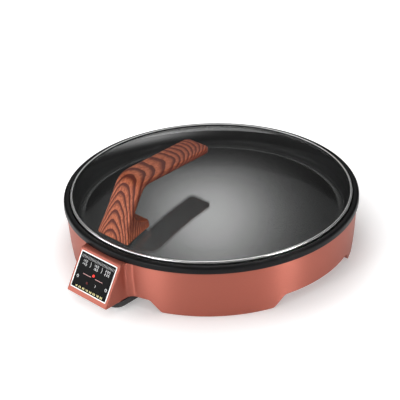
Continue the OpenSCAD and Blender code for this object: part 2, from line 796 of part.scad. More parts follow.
module fuse_bracket() color(steel) placed() across(fuse_bracket_w)
    translate([fuse_y - bracket_foot + fuse_r, shield_top]) difference() {
        square([2 * bracket_foot, fuse_shelf]);
        translate([bracket_t, bracket_t]) square([2 * bracket_foot, fuse_shelf - 2 * bracket_t]);
    }

module bottom_cover() color(black) placed() translate([0, 0, flange_z - cover_t]) difference() {
    cylinder(r = cover_r, h = cover_t);
    at_legs(stud_ring_r) translate([0, 0, -cut]) cylinder(r = stud_r + room, h = cover_t + 2 * cut);
    at_arches(cover_screw_r) translate([0, 0, -cut]) cylinder(r = screw_r + room, h = cover_t + 2 * cut);
    for (k = [1:vent_count]) rotate(k * 360 / vent_count) translate([vent_from_r, -vent_w / 2, -cut])
        cube([vent_to_r - vent_from_r, vent_w, cover_t + 2 * cut]);
}

module cover_screws() color(steel) placed() at_arches(cover_screw_r)
    translate([0, 0, flange_z - cover_t - screw_head_h]) {
        cylinder(r = screw_head_r, h = screw_head_h);
        cylinder(r = screw_r, h = screw_head_h + cover_t + flange_t);
    }

// Wires inside the casing

// From an outer blade, half round the casing on the flange, to the terminal block
drop_y = (blade_back_y + shield_r) / 2;
supply_route = let(blade_z = inlet_z - blade_drop, block_end = block_y + block_size.y + fit) concat(
    [[-blade_pitch, blade_back_y - fit, blade_z],
     [-blade_pitch, (2 * blade_back_y + drop_y) / 3, blade_z],
     [-blade_pitch - 1, drop_y + wire_r, blade_z - wire_r],
     [-blade_pitch - 3, drop_y, (blade_z + wire_z) / 2]],
    [for (a = [98:10:258]) [wire_ring_r * cos(a), wire_ring_r * sin(a), wire_z]],
    [[-22, -wire_ring_r - 1, wire_z + 1],
     [-18, block_end + 12, wire_z + 4],
     [-16, block_end + 4, power_top + 5],
     [-16, block_end, power_top + 5]]);

module live_wire() color("saddlebrown") placed() wire(supply_route);
module neutral_wire() color("royalblue") placed() mirror([1, 0, 0]) wire(supply_route);

lug_t = 0.8;
lug_z = shield_z - nut_h - lug_t;
stud_xy = stud_ring_r * cos(45);
earth_route = let(blade_z = inlet_z + blade_drop, z = lug_z + lug_t / 2) [
    [0, blade_back_y - fit, blade_z],
    [0, (2 * blade_back_y + drop_y) / 3, blade_z],
    [3, drop_y + wire_r, blade_z - 4],
    [8, drop_y - wire_r, shield_z - 1],
    [16, shield_r - 2, z + 1.5],
    [40, 122, z + wire_r],
    [66, 104, z + wire_r],
    [stud_xy - 6, stud_xy + 6, z + wire_r / 2],
    [stud_xy - 3.2, stud_xy + 3.2, z]];

module earth_wire() color("olivedrab") placed() difference() {
    union() {
        wire(earth_route, sides = 10);
        translate([stud_xy, stud_xy, lug_z]) cylinder(r = nut_r, h = lug_t);
    }
    translate([stud_xy, stud_xy, lug_z - 2 * cut]) cylinder(r = stud_r + room, h = 4 * cut);
}

lead_x = pin_x - element_d / 2 - fit;
lead_straight = 12;
lead_bend = 8;
lead_route = let(start = pin_y + pin_len + fit, end_y = block_y + block_size.y / 2, top = block_top + fit) [
    [lead_x, -start, element_z],
    [lead_x, -start - lead_straight, element_z],
    [lead_x, end_y + lead_bend, element_z],
    [lead_x, end_y + 2, element_z - 0.6],
    [lead_x, end_y, (element_z + top) / 2],
    [lead_x, end_y, top]];

module element_leads() color("firebrick") placed() both_sides() wire(lead_route);

// Lid

module lid_glass() color([0.6, 0.7, 0.7, 0.4]) placed() difference() {
    translate([0, 0, dome_c]) rotate_extrude() intersection() {
        difference() {
            circle(r = dome_r, $fn = 1440);
            circle(r = dome_r - glass_t, $fn = 1440);
        }
        translate([0, dome_r / 2]) square([glass_r, dome_r]);
    }
    handle_screw_points() translate([0, 0, -2 * glass_t]) cylinder(r = glass_hole_r, h = 3 * glass_t);
}

module lid_ring() color(steel) placed() translate([0, 0, ring_z]) rotate_extrude() difference() {
    translate([ring_r - ring_w / 2, ring_h / 2]) polygon(plate(ring_w, ring_h, 0.7));
    intersection() {
        translate([0, dome_c - ring_z]) difference() {
            circle(r = dome_r + glass_clear, $fn = 1440);
            circle(r = dome_r - glass_t - glass_clear, $fn = 1440);
        }
        square([glass_r + glass_clear, ring_h]);
    }
}

// Handle. Each station has a front point and a rear point in the Y-Z plane and a half width.
stem_bow = 2.2;
foot_pt = [-handle_front, dome_z(handle_front) + seal_t + 1.5];
bend_pt = [-handle_bend, grip_top_z];
stem_dir = unit(bend_pt - foot_pt);
stem_in = [stem_dir.y, -stem_dir.x];
function stem_front(s) = foot_pt + s * (bend_pt - foot_pt) - stem_in * stem_bow * 4 * s * (1 - s);
function stem_half(s) = handle_w / 2 + (foot_w - handle_w) / 2 * pow(max(0, 1 - 2 * s), 1.6);

toe_y = -handle_front + foot_l;
toe_low_z = dome_z(-toe_y) + seal_t;
toe_top = [toe_y - 1, toe_low_z + handle_t + 0.5];
blend_end = 0.48;
blend_rear = stem_front(blend_end) + stem_in * handle_t;
blend_mid = [blend_rear.x - 2, toe_top.y + 1.5];

// The bend from the stem into the grip
bend_from = stem_front(0.84);
grip_from = [-handle_bend + 12, grip_top_z];
grip_to = [-handle_end, grip_top_z];
end_corner_r = 9;

function bent(t) =
    let(p = bend_point(bend_from, bend_pt, grip_from, t),
        d = unit(bend_slope(bend_from, bend_pt, grip_from, t)))
    [p, p + [d.y, -d.x] * handle_t, handle_w / 2];

// A station of the rounded free end, at distance d from the very end
function end_station(d) =
    let(w = handle_w / 2 - end_corner_r + sqrt(max(0, pow(end_corner_r, 2) - pow(end_corner_r - d, 2))),
        q = max(0, grip_edge_r - d),
        s = grip_edge_r - sqrt(max(0, pow(grip_edge_r, 2) - q * q)))
    [[grip_to.x - d, grip_top_z - s], [grip_to.x - d, grip_top_z - handle_t + s], w];

stations = concat(
    [[stem_front(-0.14), [toe_y - 1, toe_low_z - 5], foot_w / 2],
     [stem_front(0), [toe_y, toe_low_z + 1], foot_w / 2],
     [stem_front(0.04), [toe_y, toe_low_z + handle_t / 2], stem_half(0.04)]],
    [for (t = [0:1 / 7:1.001]) let(s = 0.08 + (blend_end - 0.08) * t)
        [stem_front(s), bend_point(toe_top, blend_mid, blend_rear, t), stem_half(s)]],
    [for (s = [0.56, 0.65, 0.74]) [stem_front(s), stem_front(s) + stem_in * handle_t, stem_half(s)]],
    [for (t = [0:1 / 6:1.001]) bent(t)],
    [for (f = [0.25, 0.5, 0.75]) let(x = grip_from.x + f * (grip_to.x - end_corner_r - grip_from.x))
        [[x, grip_top_z], [x, grip_top_z - handle_t], handle_w / 2]],
    [for (d = [end_corner_r, 5, 2.5, 1.2, 0.4, 0.1]) end_station(d)]);

// Rounded rectangle across a station, from the front point to the rear point
function station_ring(s) =
    let(deep = norm(s[1] - s[0]), v = (s[1] - s[0]) / deep, r = min(grip_edge_r, 0.49 * deep))
    [for (p = rounded([[-s[2], 0], [s[2], 0], [s[2], deep], [-s[2], deep]], r, 3))
        [p.x, s[0].x + v.x * p.y, s[0].y + v.y * p.y]];

module dome_ball(r) translate([0, 0, dome_c]) sphere(r = r, $fn = 720);

module lid_handle() color(wood) placed() difference() {
    skin([for (s = stations) station_ring(s)]);
    dome_ball(dome_r + seal_t + fit);
    handle_screw_points() cylinder(r = handle_screw_r + fit, h = seal_t + 12);
}

seal_outline = rounded([
    [-foot_w / 2 + 1, -handle_front + 1], [foot_w / 2 - 1, -handle_front + 1],
    [handle_w / 2, toe_y - 1.5], [-handle_w / 2, toe_y - 1.5]], 4);

module handle_seal() color(black) placed() difference() {
    intersection() {
        translate([0, 0, dome_z(handle_front) - seal_t]) linear_extrude(8 * seal_t) polygon(seal_outline);
        dome_ball(dome_r + seal_t);
    }
    dome_ball(dome_r + fit);
    handle_screw_points() translate([0, 0, -cut]) cylinder(r = handle_screw_r + room, h = seal_t + 2 * cut);
}

seal_washer_top = -glass_t - 2 * fit;
washer_top = seal_washer_top - seal_washer_t;
head_top = washer_top - washer_t;

module handle_screws() color(steel) placed() handle_screw_points() {
    translate([0, 0, head_top - 2.6]) cylinder(r = 4, h = 2.6);
    translate([0, 0, head_top]) cylinder(r = handle_screw_r, h = seal_t + 10 - head_top);
}

module washer(top, t) translate([0, 0, top - t]) ring(washer_r, handle_screw_r + room, t);
module handle_washers() color(steel) placed() handle_screw_points() washer(washer_top, washer_t);
module screw_seals() color("white") placed() handle_screw_points() washer(seal_washer_top, seal_washer_t);

casing();
rubber_feet();
control_tray();
tray_screws();
panel_bezel();
panel_overlay();
heat_lamp();
timer_lamp();
control_board();
board_screws();
power_board();
relay();
capacitor();
terminal_block();
board_ribbon();
power_inlet();
inlet_pins();
inlet_screws();
pan();
rim_gasket();
pan_studs();
stud_nuts();
heating_element();
element_pins();
element_clamps();
heat_shield();
temperature_sensor();
sensor_bracket();
thermal_fuse();
fuse_bracket();
bottom_cover();
cover_screws();
live_wire();
neutral_wire();
earth_wire();
element_leads();
lid_glass();
lid_ring();
lid_handle();
handle_seal();
handle_screws();
handle_washers();
screw_seals();
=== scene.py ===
"""Looks of a round electric baking pan: its outer surfaces, finishes, stage and camera."""

import json
import math

import bmesh
import bpy
import numpy as np
from bpy.props import FloatProperty, FloatVectorProperty, IntProperty, PointerProperty
from mathutils import Matrix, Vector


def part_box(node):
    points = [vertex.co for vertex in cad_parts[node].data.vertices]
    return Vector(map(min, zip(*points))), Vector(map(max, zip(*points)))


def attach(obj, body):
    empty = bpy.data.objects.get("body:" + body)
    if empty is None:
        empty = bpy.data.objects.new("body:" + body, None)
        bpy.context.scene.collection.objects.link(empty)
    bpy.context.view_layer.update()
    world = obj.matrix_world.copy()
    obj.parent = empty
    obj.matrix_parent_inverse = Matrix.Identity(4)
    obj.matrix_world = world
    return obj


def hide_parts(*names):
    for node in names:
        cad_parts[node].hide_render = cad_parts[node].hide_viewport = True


bl_info = {
    "name": "Electric baking pan",
    "version": (1, 0, 0),
    "blender": (4, 5, 0),
    "location": "View3D > Sidebar > Baking pan",
    "description": "Builds the surfaces, finishes and stage of a round electric baking pan",
    "category": "Object",
}

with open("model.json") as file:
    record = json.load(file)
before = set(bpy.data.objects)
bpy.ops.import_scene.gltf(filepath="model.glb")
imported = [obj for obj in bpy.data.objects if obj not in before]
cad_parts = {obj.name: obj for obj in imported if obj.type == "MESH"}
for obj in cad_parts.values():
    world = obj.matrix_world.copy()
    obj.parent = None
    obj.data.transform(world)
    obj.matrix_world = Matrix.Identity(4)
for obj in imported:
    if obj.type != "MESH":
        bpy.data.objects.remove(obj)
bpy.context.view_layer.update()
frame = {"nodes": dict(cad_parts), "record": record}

# Places that the frame gives, in metres
MM = 0.001
RING_LOW, RING_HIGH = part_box("lid_ring")
CASING_LOW, CASING_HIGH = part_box("casing")
INLET_LOW, INLET_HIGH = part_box("power_inlet")
PAN_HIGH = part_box("pan")[1]
GLASS_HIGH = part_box("lid_glass")[1]
HANDLE_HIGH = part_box("lid_handle")[1]
ARCH_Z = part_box("bottom_cover")[1].z
AXIS_Y = (RING_LOW.y + RING_HIGH.y) / 2
BOX_REACH = AXIS_Y - CASING_LOW.y
INLET_Z = (INLET_LOW.z + INLET_HIGH.z) / 2

QUARTER = math.pi / 2
FLOOR_Z = -0.2 * MM

# The inlet's hole in the casing, and how many columns and rows the casing's surface has
INLET_HALF = 13.7 * MM
INLET_RISE = 8.7 * MM
INLET_COLUMNS = 10
BOX_HALF = 35
FACE_STEPS = 12
EDGE_STEPS = 7
SIDE_STEPS = 5
FILLET_STEPS = 11
FLANK_COLUMNS = 39
LEG_COLUMNS = 11
HOLE_STEPS = (3, 7, 9)


# Sizes and colours


def length(name, description, default):
    """A size in metres."""
    return FloatProperty(name=name, description=description, default=default, unit="LENGTH", precision=5)


def angle(name, description, default):
    """An angle given in degrees, kept in radians."""
    return FloatProperty(
        name=name, description=description, default=math.radians(default), unit="ROTATION"
    )


def share(name, description, default):
    """A plain number."""
    return FloatProperty(name=name, description=description, default=default)


def colour(name, description, default):
    """A linear colour."""
    return FloatVectorProperty(
        name=name, description=description, default=default, subtype="COLOR", size=3, min=0, max=1
    )


class CasingSettings(bpy.types.PropertyGroup):
    """Sizes and paint of the casing and its control box."""

    top_radius: length("Top radius", "Radius of the wall at its upper edge", CASING_HIGH.x)
    top_z: length("Top height", "Height of the wall's upper edge", CASING_HIGH.z)
    bow_radius: length("Bow", "Radius of the wall's bow, seen from the side", 500 * MM)
    wall: length("Wall", "Thickness of the wall", 2.5 * MM)
    leg_z: length("Leg height", "Height of the legs' undersides", CASING_LOW.z)
    leg_rear: length("Leg rear", "Distance from the axis to a leg's back wall", 148 * MM)
    flange: length("Flange", "Radius of the opening in the bottom flange", 135 * MM)
    flange_t: length("Flange thickness", "Thickness of the bottom flange", 2 * MM)
    arch_top: length("Arch top", "Width of an arch at its top", 112.8 * MM)
    arch_foot: length("Arch foot", "Width of an arch at the worktop", 138 * MM)
    neck: length("Neck", "Radius of the opening at the top", 171.5 * MM)
    edge: length("Edge", "Rounding of the lower edges", 1.0 * MM)
    box_width: length("Box width", "Width of the control box", 66 * MM)
    box_drop: length("Box drop", "Depth of the control box's top below the wall's edge", 1.5 * MM)
    box_top_reach: length("Box top", "Distance from the axis to the box's upper edge", 185 * MM)
    box_fillet: length("Fillet", "Radius between the box's sides and the wall", 9 * MM)
    box_edge: length("Box edge", "Rounding of the control box's edges", 1.8 * MM)
    paint: colour("Paint", "Metallic paint", (0.40, 0.105, 0.070))


class PanSettings(bpy.types.PropertyGroup):
    """Sizes and coating of the pan."""

    rim_radius: length("Rim", "Outer radius of the rim", PAN_HIGH.x)
    rim_z: length("Rim height", "Height of the rim's top", PAN_HIGH.z)
    skirt_z: length("Skirt", "Height of the skirt's lower edge", 62.3 * MM)
    skirt: length("Skirt thickness", "Thickness of the skirt", 2.2 * MM)
    rim_under: length("Rim underside", "Height of the rim's underside", 64.2 * MM)
    ledge_radius: length("Ledge", "Outer radius of the ledge under the lid", 173.3 * MM)
    ledge_z: length("Ledge height", "Height of the ledge under the lid", 66 * MM)
    bowl_radius: length("Bowl", "Inner radius of the bowl", 168 * MM)
    floor_z: length("Floor", "Height of the cooking floor", 40 * MM)
    floor_t: length("Floor thickness", "Thickness of the floor", 3 * MM)
    wall: length("Wall", "Thickness of the bowl's wall", 2.5 * MM)
    corner: length("Corner", "Radius between floor and wall", 13 * MM)
    coating: colour("Coating", "Non-stick coating of wall and rim", (0.007, 0.007, 0.0075))
    floor_coating: colour("Floor coating", "Glossier coating of the cooking floor", (0.065, 0.065, 0.065))


class LidSettings(bpy.types.PropertyGroup):
    """Sizes of the glass dome and its ring."""

    ring_radius: length("Ring", "Outer radius of the steel ring", RING_HIGH.x)
    ring_width: length("Ring width", "Width of the steel ring", 3.6 * MM)
    glass_radius: length("Glass radius", "Radius of the glass at its edge", GLASS_HIGH.x)
    glass_t: length("Glass", "Thickness of the glass", 4 * MM)
    apex_z: length("Apex", "Height of the dome's top", GLASS_HIGH.z)
    dome_radius: length("Dome", "Radius of the dome's sphere", 601.4 * MM)
    clearance: length("Clearance", "Room between glass and groove", 0.15 * MM)
    # The dark strip inside the ring is painted shade for the gap between ring and glass
    liner: length("Liner", "Width of the dark liner that shows inside the ring", 1.1 * MM)
    steel: colour("Steel", "Bright satin steel", (0.93, 0.93, 0.92))


class HandleSettings(bpy.types.PropertyGroup):
    """Sizes and wood of the lid's handle."""

    top_z: length("Top", "Height of the grip's top", HANDLE_HIGH.z)
    thickness: length("Thickness", "Thickness of the bent strip", 7 * MM)
    width: length("Width", "Width of the grip", 39 * MM)
    front: length("Front", "Distance from the axis to the foot's front", 166 * MM)
    bend: length("Bend", "Distance from the axis to the corner over the stem", 131 * MM)
    end: length("End", "Distance from the axis to the free end", 18 * MM)
    foot_width: length("Foot width", "Width of the foot", 49 * MM)
    foot_length: length("Foot length", "Length of the foot along the lid", 38 * MM)
    seal: length("Seal", "Thickness of the seal under the foot", 4.1 * MM)
    stem_bow: length("Stem bow", "How far the stem bows forwards", 2.2 * MM)
    edge: length("Edge", "Rounding of the long edges", 3 * MM)
    end_corner: length("End corner", "Rounding of the free end, seen from above", 9 * MM)
    light_wood: colour("Light wood", "Wood between the lines", (0.50, 0.148, 0.066))
    dark_wood: colour("Dark wood", "Lines of the figure", (0.075, 0.009, 0.004))


class PanelSettings(bpy.types.PropertyGroup):
    """Sizes and colours of the touch panel."""

    width: length("Width", "Width over the bright frame", 59 * MM)
    height: length("Height", "Height over the bright frame", 44.4 * MM)
    margin: length("Margin", "Distance from the face's lower edge", 6.6 * MM)
    line: length("Line", "Width of the bright frame", 1.3 * MM)
    frame_proud: length("Frame proud", "Height of the bright frame above the face", 0.6 * MM)
    glass_proud: length("Panel proud", "Height of the black panel above the face", 0.2 * MM)
    corner: length("Corner", "Rounding of the panel's corners", 1.4 * MM)
    print_t: length("Print", "Thickness of the printed marks", 0.03 * MM)
    black: colour("Black", "Panel", (0.0025, 0.0025, 0.0027))
    white: colour("White", "Printed marks", (0.85, 0.85, 0.85))
    yellow: colour("Yellow", "Lower row of marks", (0.90, 0.80, 0.38))
    pink: colour("Pink", "Line beside the lamp", (0.80, 0.45, 0.43))
    lamp: colour("Lamp", "Lit lamp", (0.80, 0.030, 0.018))


class StageSettings(bpy.types.PropertyGroup):
    """Camera and light."""

    distance: length("Distance", "From the camera to the pan's axis", 1605.6 * MM)
    target_z: length("Target", "Height that the camera's arm turns about", 40 * MM)
    elevation: angle("Elevation", "Height of the camera above the horizon", 30.300)
    azimuth: angle("Azimuth", "Turn of the camera from the front, to the right", 43.629)
    roll: angle("Roll", "Turn of the picture", -1.697)
    yaw: angle("Yaw", "Aim to the right of the target", -0.500)
    pitch: angle("Pitch", "Aim above the target", 0.445)
    lens: share("Lens", "Focal length in millimetres on a 36 mm frame", 117.0)
    floor_radius: length("Floor", "Radius of the floor", 40.0)
    floor: colour("Floor colour", "Pale floor", (0.84, 0.84, 0.84))
    segments: IntProperty(name="Segments", description="Steps round the floor", default=96)
    floor_glow: share("Floor glow", "Light that the floor adds for the camera", 0.50)
    room_level: share("Room", "Even light from all sides", 0.045)
    glow_level: share("Glow", "Radiance of the soft light behind the pan", 3.15)
    glow_azimuth: angle("Glow azimuth", "Turn of the soft light from straight behind", 1)
    glow_elevation: angle("Glow elevation", "Height of the soft light", 48)
    glow_distance: length("Glow distance", "From the lid to the soft light", 1.0)
    glow_rise: length("Glow rise", "Shift of the soft light's middle up its sheet", 128 * MM)
    glow_width: length("Glow width", "Sideways distance that dims the soft light to a third", 0.26)
    glow_height: length("Glow height", "Upward distance that dims the soft light to a third", 0.38)
    horizon_level: share("Horizon", "Radiance of the low card behind the pan", 0.75)
    horizon_radius: length("Horizon radius", "From the pan's axis to the low card", 0.75)
    left_power: share("Left strip", "Watts of the strip to the camera's left", 6.5)
    right_power: share("Right strip", "Watts of the strip to the camera's right", 0.26)
    side_power: share("Side fill", "Watts of the soft lamp on the far left", 4.2)
    top_power: share("Top fill", "Watts of the sheet of light above", 9.0)
    front_power: share("Front fill", "Watts of the sheet of light above the camera", 5.0)


class BakingPanSettings(bpy.types.PropertyGroup):
    """All settings of the baking pan."""

    casing: PointerProperty(type=CasingSettings)
    pan: PointerProperty(type=PanSettings)
    lid: PointerProperty(type=LidSettings)
    handle: PointerProperty(type=HandleSettings)
    panel: PointerProperty(type=PanelSettings)
    stage: PointerProperty(type=StageSettings)


# Curves and grids


def arc(centre, radius, start, stop, count):
    """Points c + r (cos a, sin a), with a from start to stop in equal steps, in degrees."""
    turn = np.radians(np.linspace(start, stop, count))
    return np.stack([centre[0] + radius * np.cos(turn), centre[1] + radius * np.sin(turn)], axis=-1)


def between(first, last, count):
    """Points on a straight line, both ends included."""
    return np.linspace(first, last, count)


def smooth_min(a, b, blend):
    """The lower of a and b, rounded where they are closer than blend.

    It is less by h^2 blend / 4 there, with h = 1 - |a - b| / blend.
    """
    near = np.maximum(blend - np.abs(a - b), 0) / blend
    return np.minimum(a, b) - near * near * blend / 4


def smooth_step(t):
    """3 t^2 - 2 t^3 on t held between 0 and 1."""
    t = np.clip(t, 0, 1)
    return t * t * (3 - 2 * t)


def bezier(a, b, c, t):
    """Point (1 - t)^2 a + 2 t (1 - t) b + t^2 c of a curve with one control point."""
    t = t[:, None]
    return (1 - t) ** 2 * a + 2 * t * (1 - t) * b + t * t * c


def travelled(points):
    """Distance along a row of points, from its first one."""
    steps = np.linalg.norm(np.diff(points, axis=0), axis=-1)
    return np.concatenate([[0.0], np.cumsum(steps)])


def lathe(profile, segments=240):
    """Grid of a profile (r, z) turned about the pan's axis: x = r cos a, y = axis + r sin a."""
    turn = np.linspace(0, 2 * math.pi, segments, endpoint=False)
    r = profile[:, :1]
    z = np.broadcast_to(profile[:, 1:], (len(profile), segments))
    points = np.stack([r * np.cos(turn), AXIS_Y + r * np.sin(turn), z], axis=-1)
    around = np.broadcast_to(np.linspace(0, 1, segments + 1), (len(profile), segments + 1))
    along = np.broadcast_to(travelled(profile)[:, None], (len(profile), segments + 1))
    return {"points": points, "wrap_columns": True, "uv": np.stack([around, along], axis=-1)}


def ring_lathe(profile, segments=240):
    """Lathe of a closed profile, whose last point joins the first."""
    grid = lathe(np.vstack([profile, profile[:1]]), segments)
    return {**grid, "points": grid["points"][:-1], "wrap_rows": True}


def grid_faces(grid, offset):
    """Corner numbers of a grid's quads, and the matching uv corners."""
    rows, columns = grid["points"].shape[:2]
    index = offset + np.arange(rows * columns).reshape(rows, columns)
    if grid.get("wrap_rows"):
        index = np.vstack([index, index[:1]])
    if grid.get("wrap_columns"):
        index = np.hstack([index, index[:, :1]])
    uv = grid.get("uv")
    if uv is None:
        uv = np.zeros(index.shape + (2,))
    keep = grid.get("keep", np.ones((index.shape[0] - 1, index.shape[1] - 1), bool))
    faces = np.stack([index[:-1, :-1], index[:-1, 1:], index[1:, 1:], index[1:, :-1]], axis=-1)
    corners = np.stack([uv[:-1, :-1], uv[:-1, 1:], uv[1:, 1:], uv[1:, :-1]], axis=-2)
    return faces[keep], corners[keep]


def grid_object(name, grids, material, sharp=32.0, weld=2e-6):
    """One object from several grids, welded where they meet, with all faces pointing outwards."""
    points, faces, corners, offset = [], [], [], 0
    for grid in grids:
        face, corner = grid_faces(grid, offset)
        points.append(grid["points"].reshape(-1, 3))
        faces.append(face.reshape(-1, 4))
        corners.append(corner.reshape(-1, 2))
        offset += len(points[-1])
    points = np.concatenate(points)
    faces = np.concatenate(faces)
    mesh = bpy.data.meshes.new(name)
    mesh.vertices.add(len(points))
    mesh.vertices.foreach_set("co", points.astype(np.float32).ravel())
    mesh.loops.add(faces.size)
    mesh.loops.foreach_set("vertex_index", faces.astype(np.int32).ravel())
    mesh.polygons.add(len(faces))
    mesh.polygons.foreach_set("loop_start", np.arange(0, faces.size, 4, dtype=np.int32))
    layer = mesh.uv_layers.new(name="Surface")
    layer.data.foreach_set("uv", np.concatenate(corners).astype(np.float32).ravel())
    mesh.update(calc_edges=True)
    tidy = bmesh.new()
    tidy.from_mesh(mesh)
    bmesh.ops.remove_doubles(tidy, verts=tidy.verts, dist=weld)
    bmesh.ops.dissolve_degenerate(tidy, edges=tidy.edges, dist=weld / 2)
    bmesh.ops.recalc_face_normals(tidy, faces=tidy.faces)
    tidy.to_mesh(mesh)
    tidy.free()
    mesh.polygons.foreach_set("use_smooth", np.ones(len(mesh.polygons), bool))
    mesh.set_sharp_from_angle(angle=math.radians(sharp))
    mesh.materials.append(material)
    piece = bpy.data.objects.new(name, mesh)
    bpy.context.scene.collection.objects.link(piece)
    return piece


def settle(piece, body, slot, *nodes):
    """Gives a piece its body and hides the frame's nodes that it stands for; the finish slot is not used."""
    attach(piece, body)
    if nodes:
        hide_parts(*nodes)


# Finishes


class Finish:
    """A node material around one Principled shader."""

    def __init__(self, name, base, roughness, **sockets):
        self.material = bpy.data.materials.new(name)
        self.material.use_nodes = True
        self.tree = self.material.node_tree
        self.shader = self.tree.nodes["Principled BSDF"]
        self.output = self.tree.nodes["Material Output"]
        self.shader.inputs["Base Color"].default_value = (*base, 1)
        self.shader.inputs["Roughness"].default_value = roughness
        for socket, value in sockets.items():
            self.shader.inputs[socket.replace("_", " ")].default_value = value

    def node(self, kind, inputs=None, **settings):
        """A new node with its settings and its input values or links."""
        made = self.tree.nodes.new("ShaderNode" + kind)
        for setting, value in settings.items():
            setattr(made, setting, value)
        for socket, value in (inputs or {}).items():
            if isinstance(value, bpy.types.NodeSocket):
                self.tree.links.new(value, made.inputs[socket])
            else:
                made.inputs[socket].default_value = value
        return made

    def place(self, source="Object", scale=(1, 1, 1), spot=(0, 0, 0)):
        """Coordinates of the surface, moved and scaled."""
        coordinates = self.node("TexCoord").outputs[source]
        mapping = self.node("Mapping", {"Vector": coordinates, "Scale": scale, "Location": spot})
        return mapping.outputs["Vector"]

    def noise(self, vector, scale, detail=3.0, roughness=0.55):
        """Noise from 0 to 1."""
        values = {"Vector": vector, "Scale": scale, "Detail": detail, "Roughness": roughness}
        return self.node("TexNoise", values).outputs["Fac"]

    def math(self, operation, first, second=0.0, third=0.0):
        """One sum."""
        return self.node("Math", {0: first, 1: second, 2: third}, operation=operation).outputs[0]

    def spread(self, value, low, high, start=0.25, stop=0.75):
        """A value between start and stop, spread over low to high."""
        inputs = {"Value": value, "From Min": start, "From Max": stop, "To Min": low, "To Max": high}
        return self.node("MapRange", inputs).outputs["Result"]

    def blend(self, factor, first, second):
        """A colour between two."""
        mix = self.node("Mix", {"Factor": factor}, data_type="RGBA")
        for socket, value in zip(mix.inputs[6:8], (first, second)):
            if isinstance(value, bpy.types.NodeSocket):
                self.tree.links.new(value, socket)
            else:
                socket.default_value = (*value, 1)
        return mix.outputs[2]

    def link(self, value, socket):
        """Drives one of the shader's inputs."""
        self.tree.links.new(value, self.shader.inputs[socket])

    def vary(self, factor, tint, low, high):
        """Base colour between two shades of a tint."""
        self.link(self.blend(factor, shade(tint, low), shade(tint, high)), "Base Color")

    def bump(self, height, distance, strength=1.0):
        """Small relief over the surface."""
        inputs = {"Height": height, "Distance": distance, "Strength": strength}
        self.link(self.node("Bump", inputs).outputs["Normal"], "Normal")


def shade(tint, factor):
    """A colour times a factor."""
    return tuple(min(1.0, channel * factor) for channel in tint)


def paint_finish(settings):
    """Metallic paint: fine flakes and a faint drag round the wall."""
    tint = tuple(settings.paint)
    made = Finish(
        "rose_copper_paint", tint, 0.40, Metallic=0.5, Anisotropic=0.85, Anisotropic_Rotation=0.25,
        Specular_IOR_Level=0.9, Specular_Tint=(0.95, 0.80, 0.76, 1),
    )
    flakes = made.noise(made.place(), 2600, 2)
    cloud = made.noise(made.place(), 22, 3)
    speckled = made.blend(made.spread(flakes, 0, 1), shade(tint, 0.90), shade(tint, 1.08))
    made.link(made.blend(made.spread(cloud, 0, 0.12), speckled, shade(tint, 1.2)), "Base Color")
    drag = made.noise(made.place("UV", (90, 9000, 1)), 1.0, 2)
    made.link(made.spread(drag, 0.39, 0.45), "Roughness")
    tangent = made.node("Tangent", direction_type="UV_MAP", uv_map="Surface")
    made.link(tangent.outputs["Tangent"], "Tangent")
    made.bump(flakes, 0.01 * MM, 0.25)
    return made.material


def coating_finish(settings):
    """Non-stick coating: near black with fine specks, glossier on the cooking floor than on the rim."""
    tint = tuple(settings.coating)
    made = Finish("nonstick_black", tint, 0.38, Specular_IOR_Level=0.12)
    height = made.node("SeparateXYZ", {"Vector": made.place()}).outputs["Z"]
    floor = made.spread(height, 1, 0, settings.floor_z + 0.4 * MM, settings.floor_z + 4 * MM)
    specks = made.noise(made.place(), 900, 2)
    peel = made.noise(made.place(), 160, 2)
    rim = made.blend(made.spread(specks, 0, 1, 0.6, 0.72), tint, shade(tint, 2.2))
    made.link(made.blend(floor, rim, tuple(settings.floor_coating)), "Base Color")
    made.link(floor, "Metallic")
    made.link(made.spread(floor, made.spread(peel, 0.35, 0.41), 0.15, 0, 1), "Roughness")
    return made.material


def glass_finish():
    """Clear tempered glass with a faint green tint that lets lamps through."""
    made = Finish("clear_glass", (0.985, 0.995, 0.99), 0.0, Transmission_Weight=1.0, IOR=1.5)
    cast = made.noise(made.place(), 8, 2)
    made.link(made.blend(cast, (0.98, 0.995, 0.988), (0.99, 0.995, 0.992)), "Base Color")
    through = made.node("BsdfTransparent", {"Color": (0.93, 0.95, 0.94, 1)}).outputs["BSDF"]
    shadow = made.node("LightPath").outputs["Is Shadow Ray"]
    mix = made.node("MixShader", {0: shadow, 1: made.shader.outputs["BSDF"], 2: through})
    made.tree.links.new(mix.outputs["Shader"], made.output.inputs["Surface"])
    return made.material


def turned_steel_finish(name, tint, gloss, metal):
    """Steel polished round and round: fine lines along the ring."""
    made = Finish(name, tint, gloss, Metallic=metal)
    lines = made.noise(made.place("UV", (60, 30000, 1)), 1.0, 2)
    made.link(made.spread(lines, gloss - 0.05, gloss + 0.07), "Roughness")
    made.vary(lines, tint, 0.92, 1.05)
    return made.material


def metal_finish(name, tint, gloss, grain=700):
    """Plain plated or brushed metal with a fine grain."""
    made = Finish(name, tint, gloss, Metallic=1.0)
    lines = made.noise(made.place(scale=(1, 0.08, 1)), grain, 3)
    made.link(made.spread(lines, gloss - 0.06, gloss + 0.08), "Roughness")
    made.vary(lines, tint, 0.85, 1.1)
    made.bump(lines, 0.01 * MM, 0.2)
    return made.material


def moulded_finish(name, tint, gloss, grain=1500, relief=0.03):
    """Moulded plastic, rubber or ceramic with a fine skin."""
    made = Finish(name, tint, gloss)
    skin = made.noise(made.place(), grain, 3)
    made.link(made.spread(skin, gloss - 0.05, gloss + 0.06), "Roughness")
    made.vary(skin, tint, 0.85, 1.15)
    made.bump(skin, relief * MM, 0.35)
    return made.material


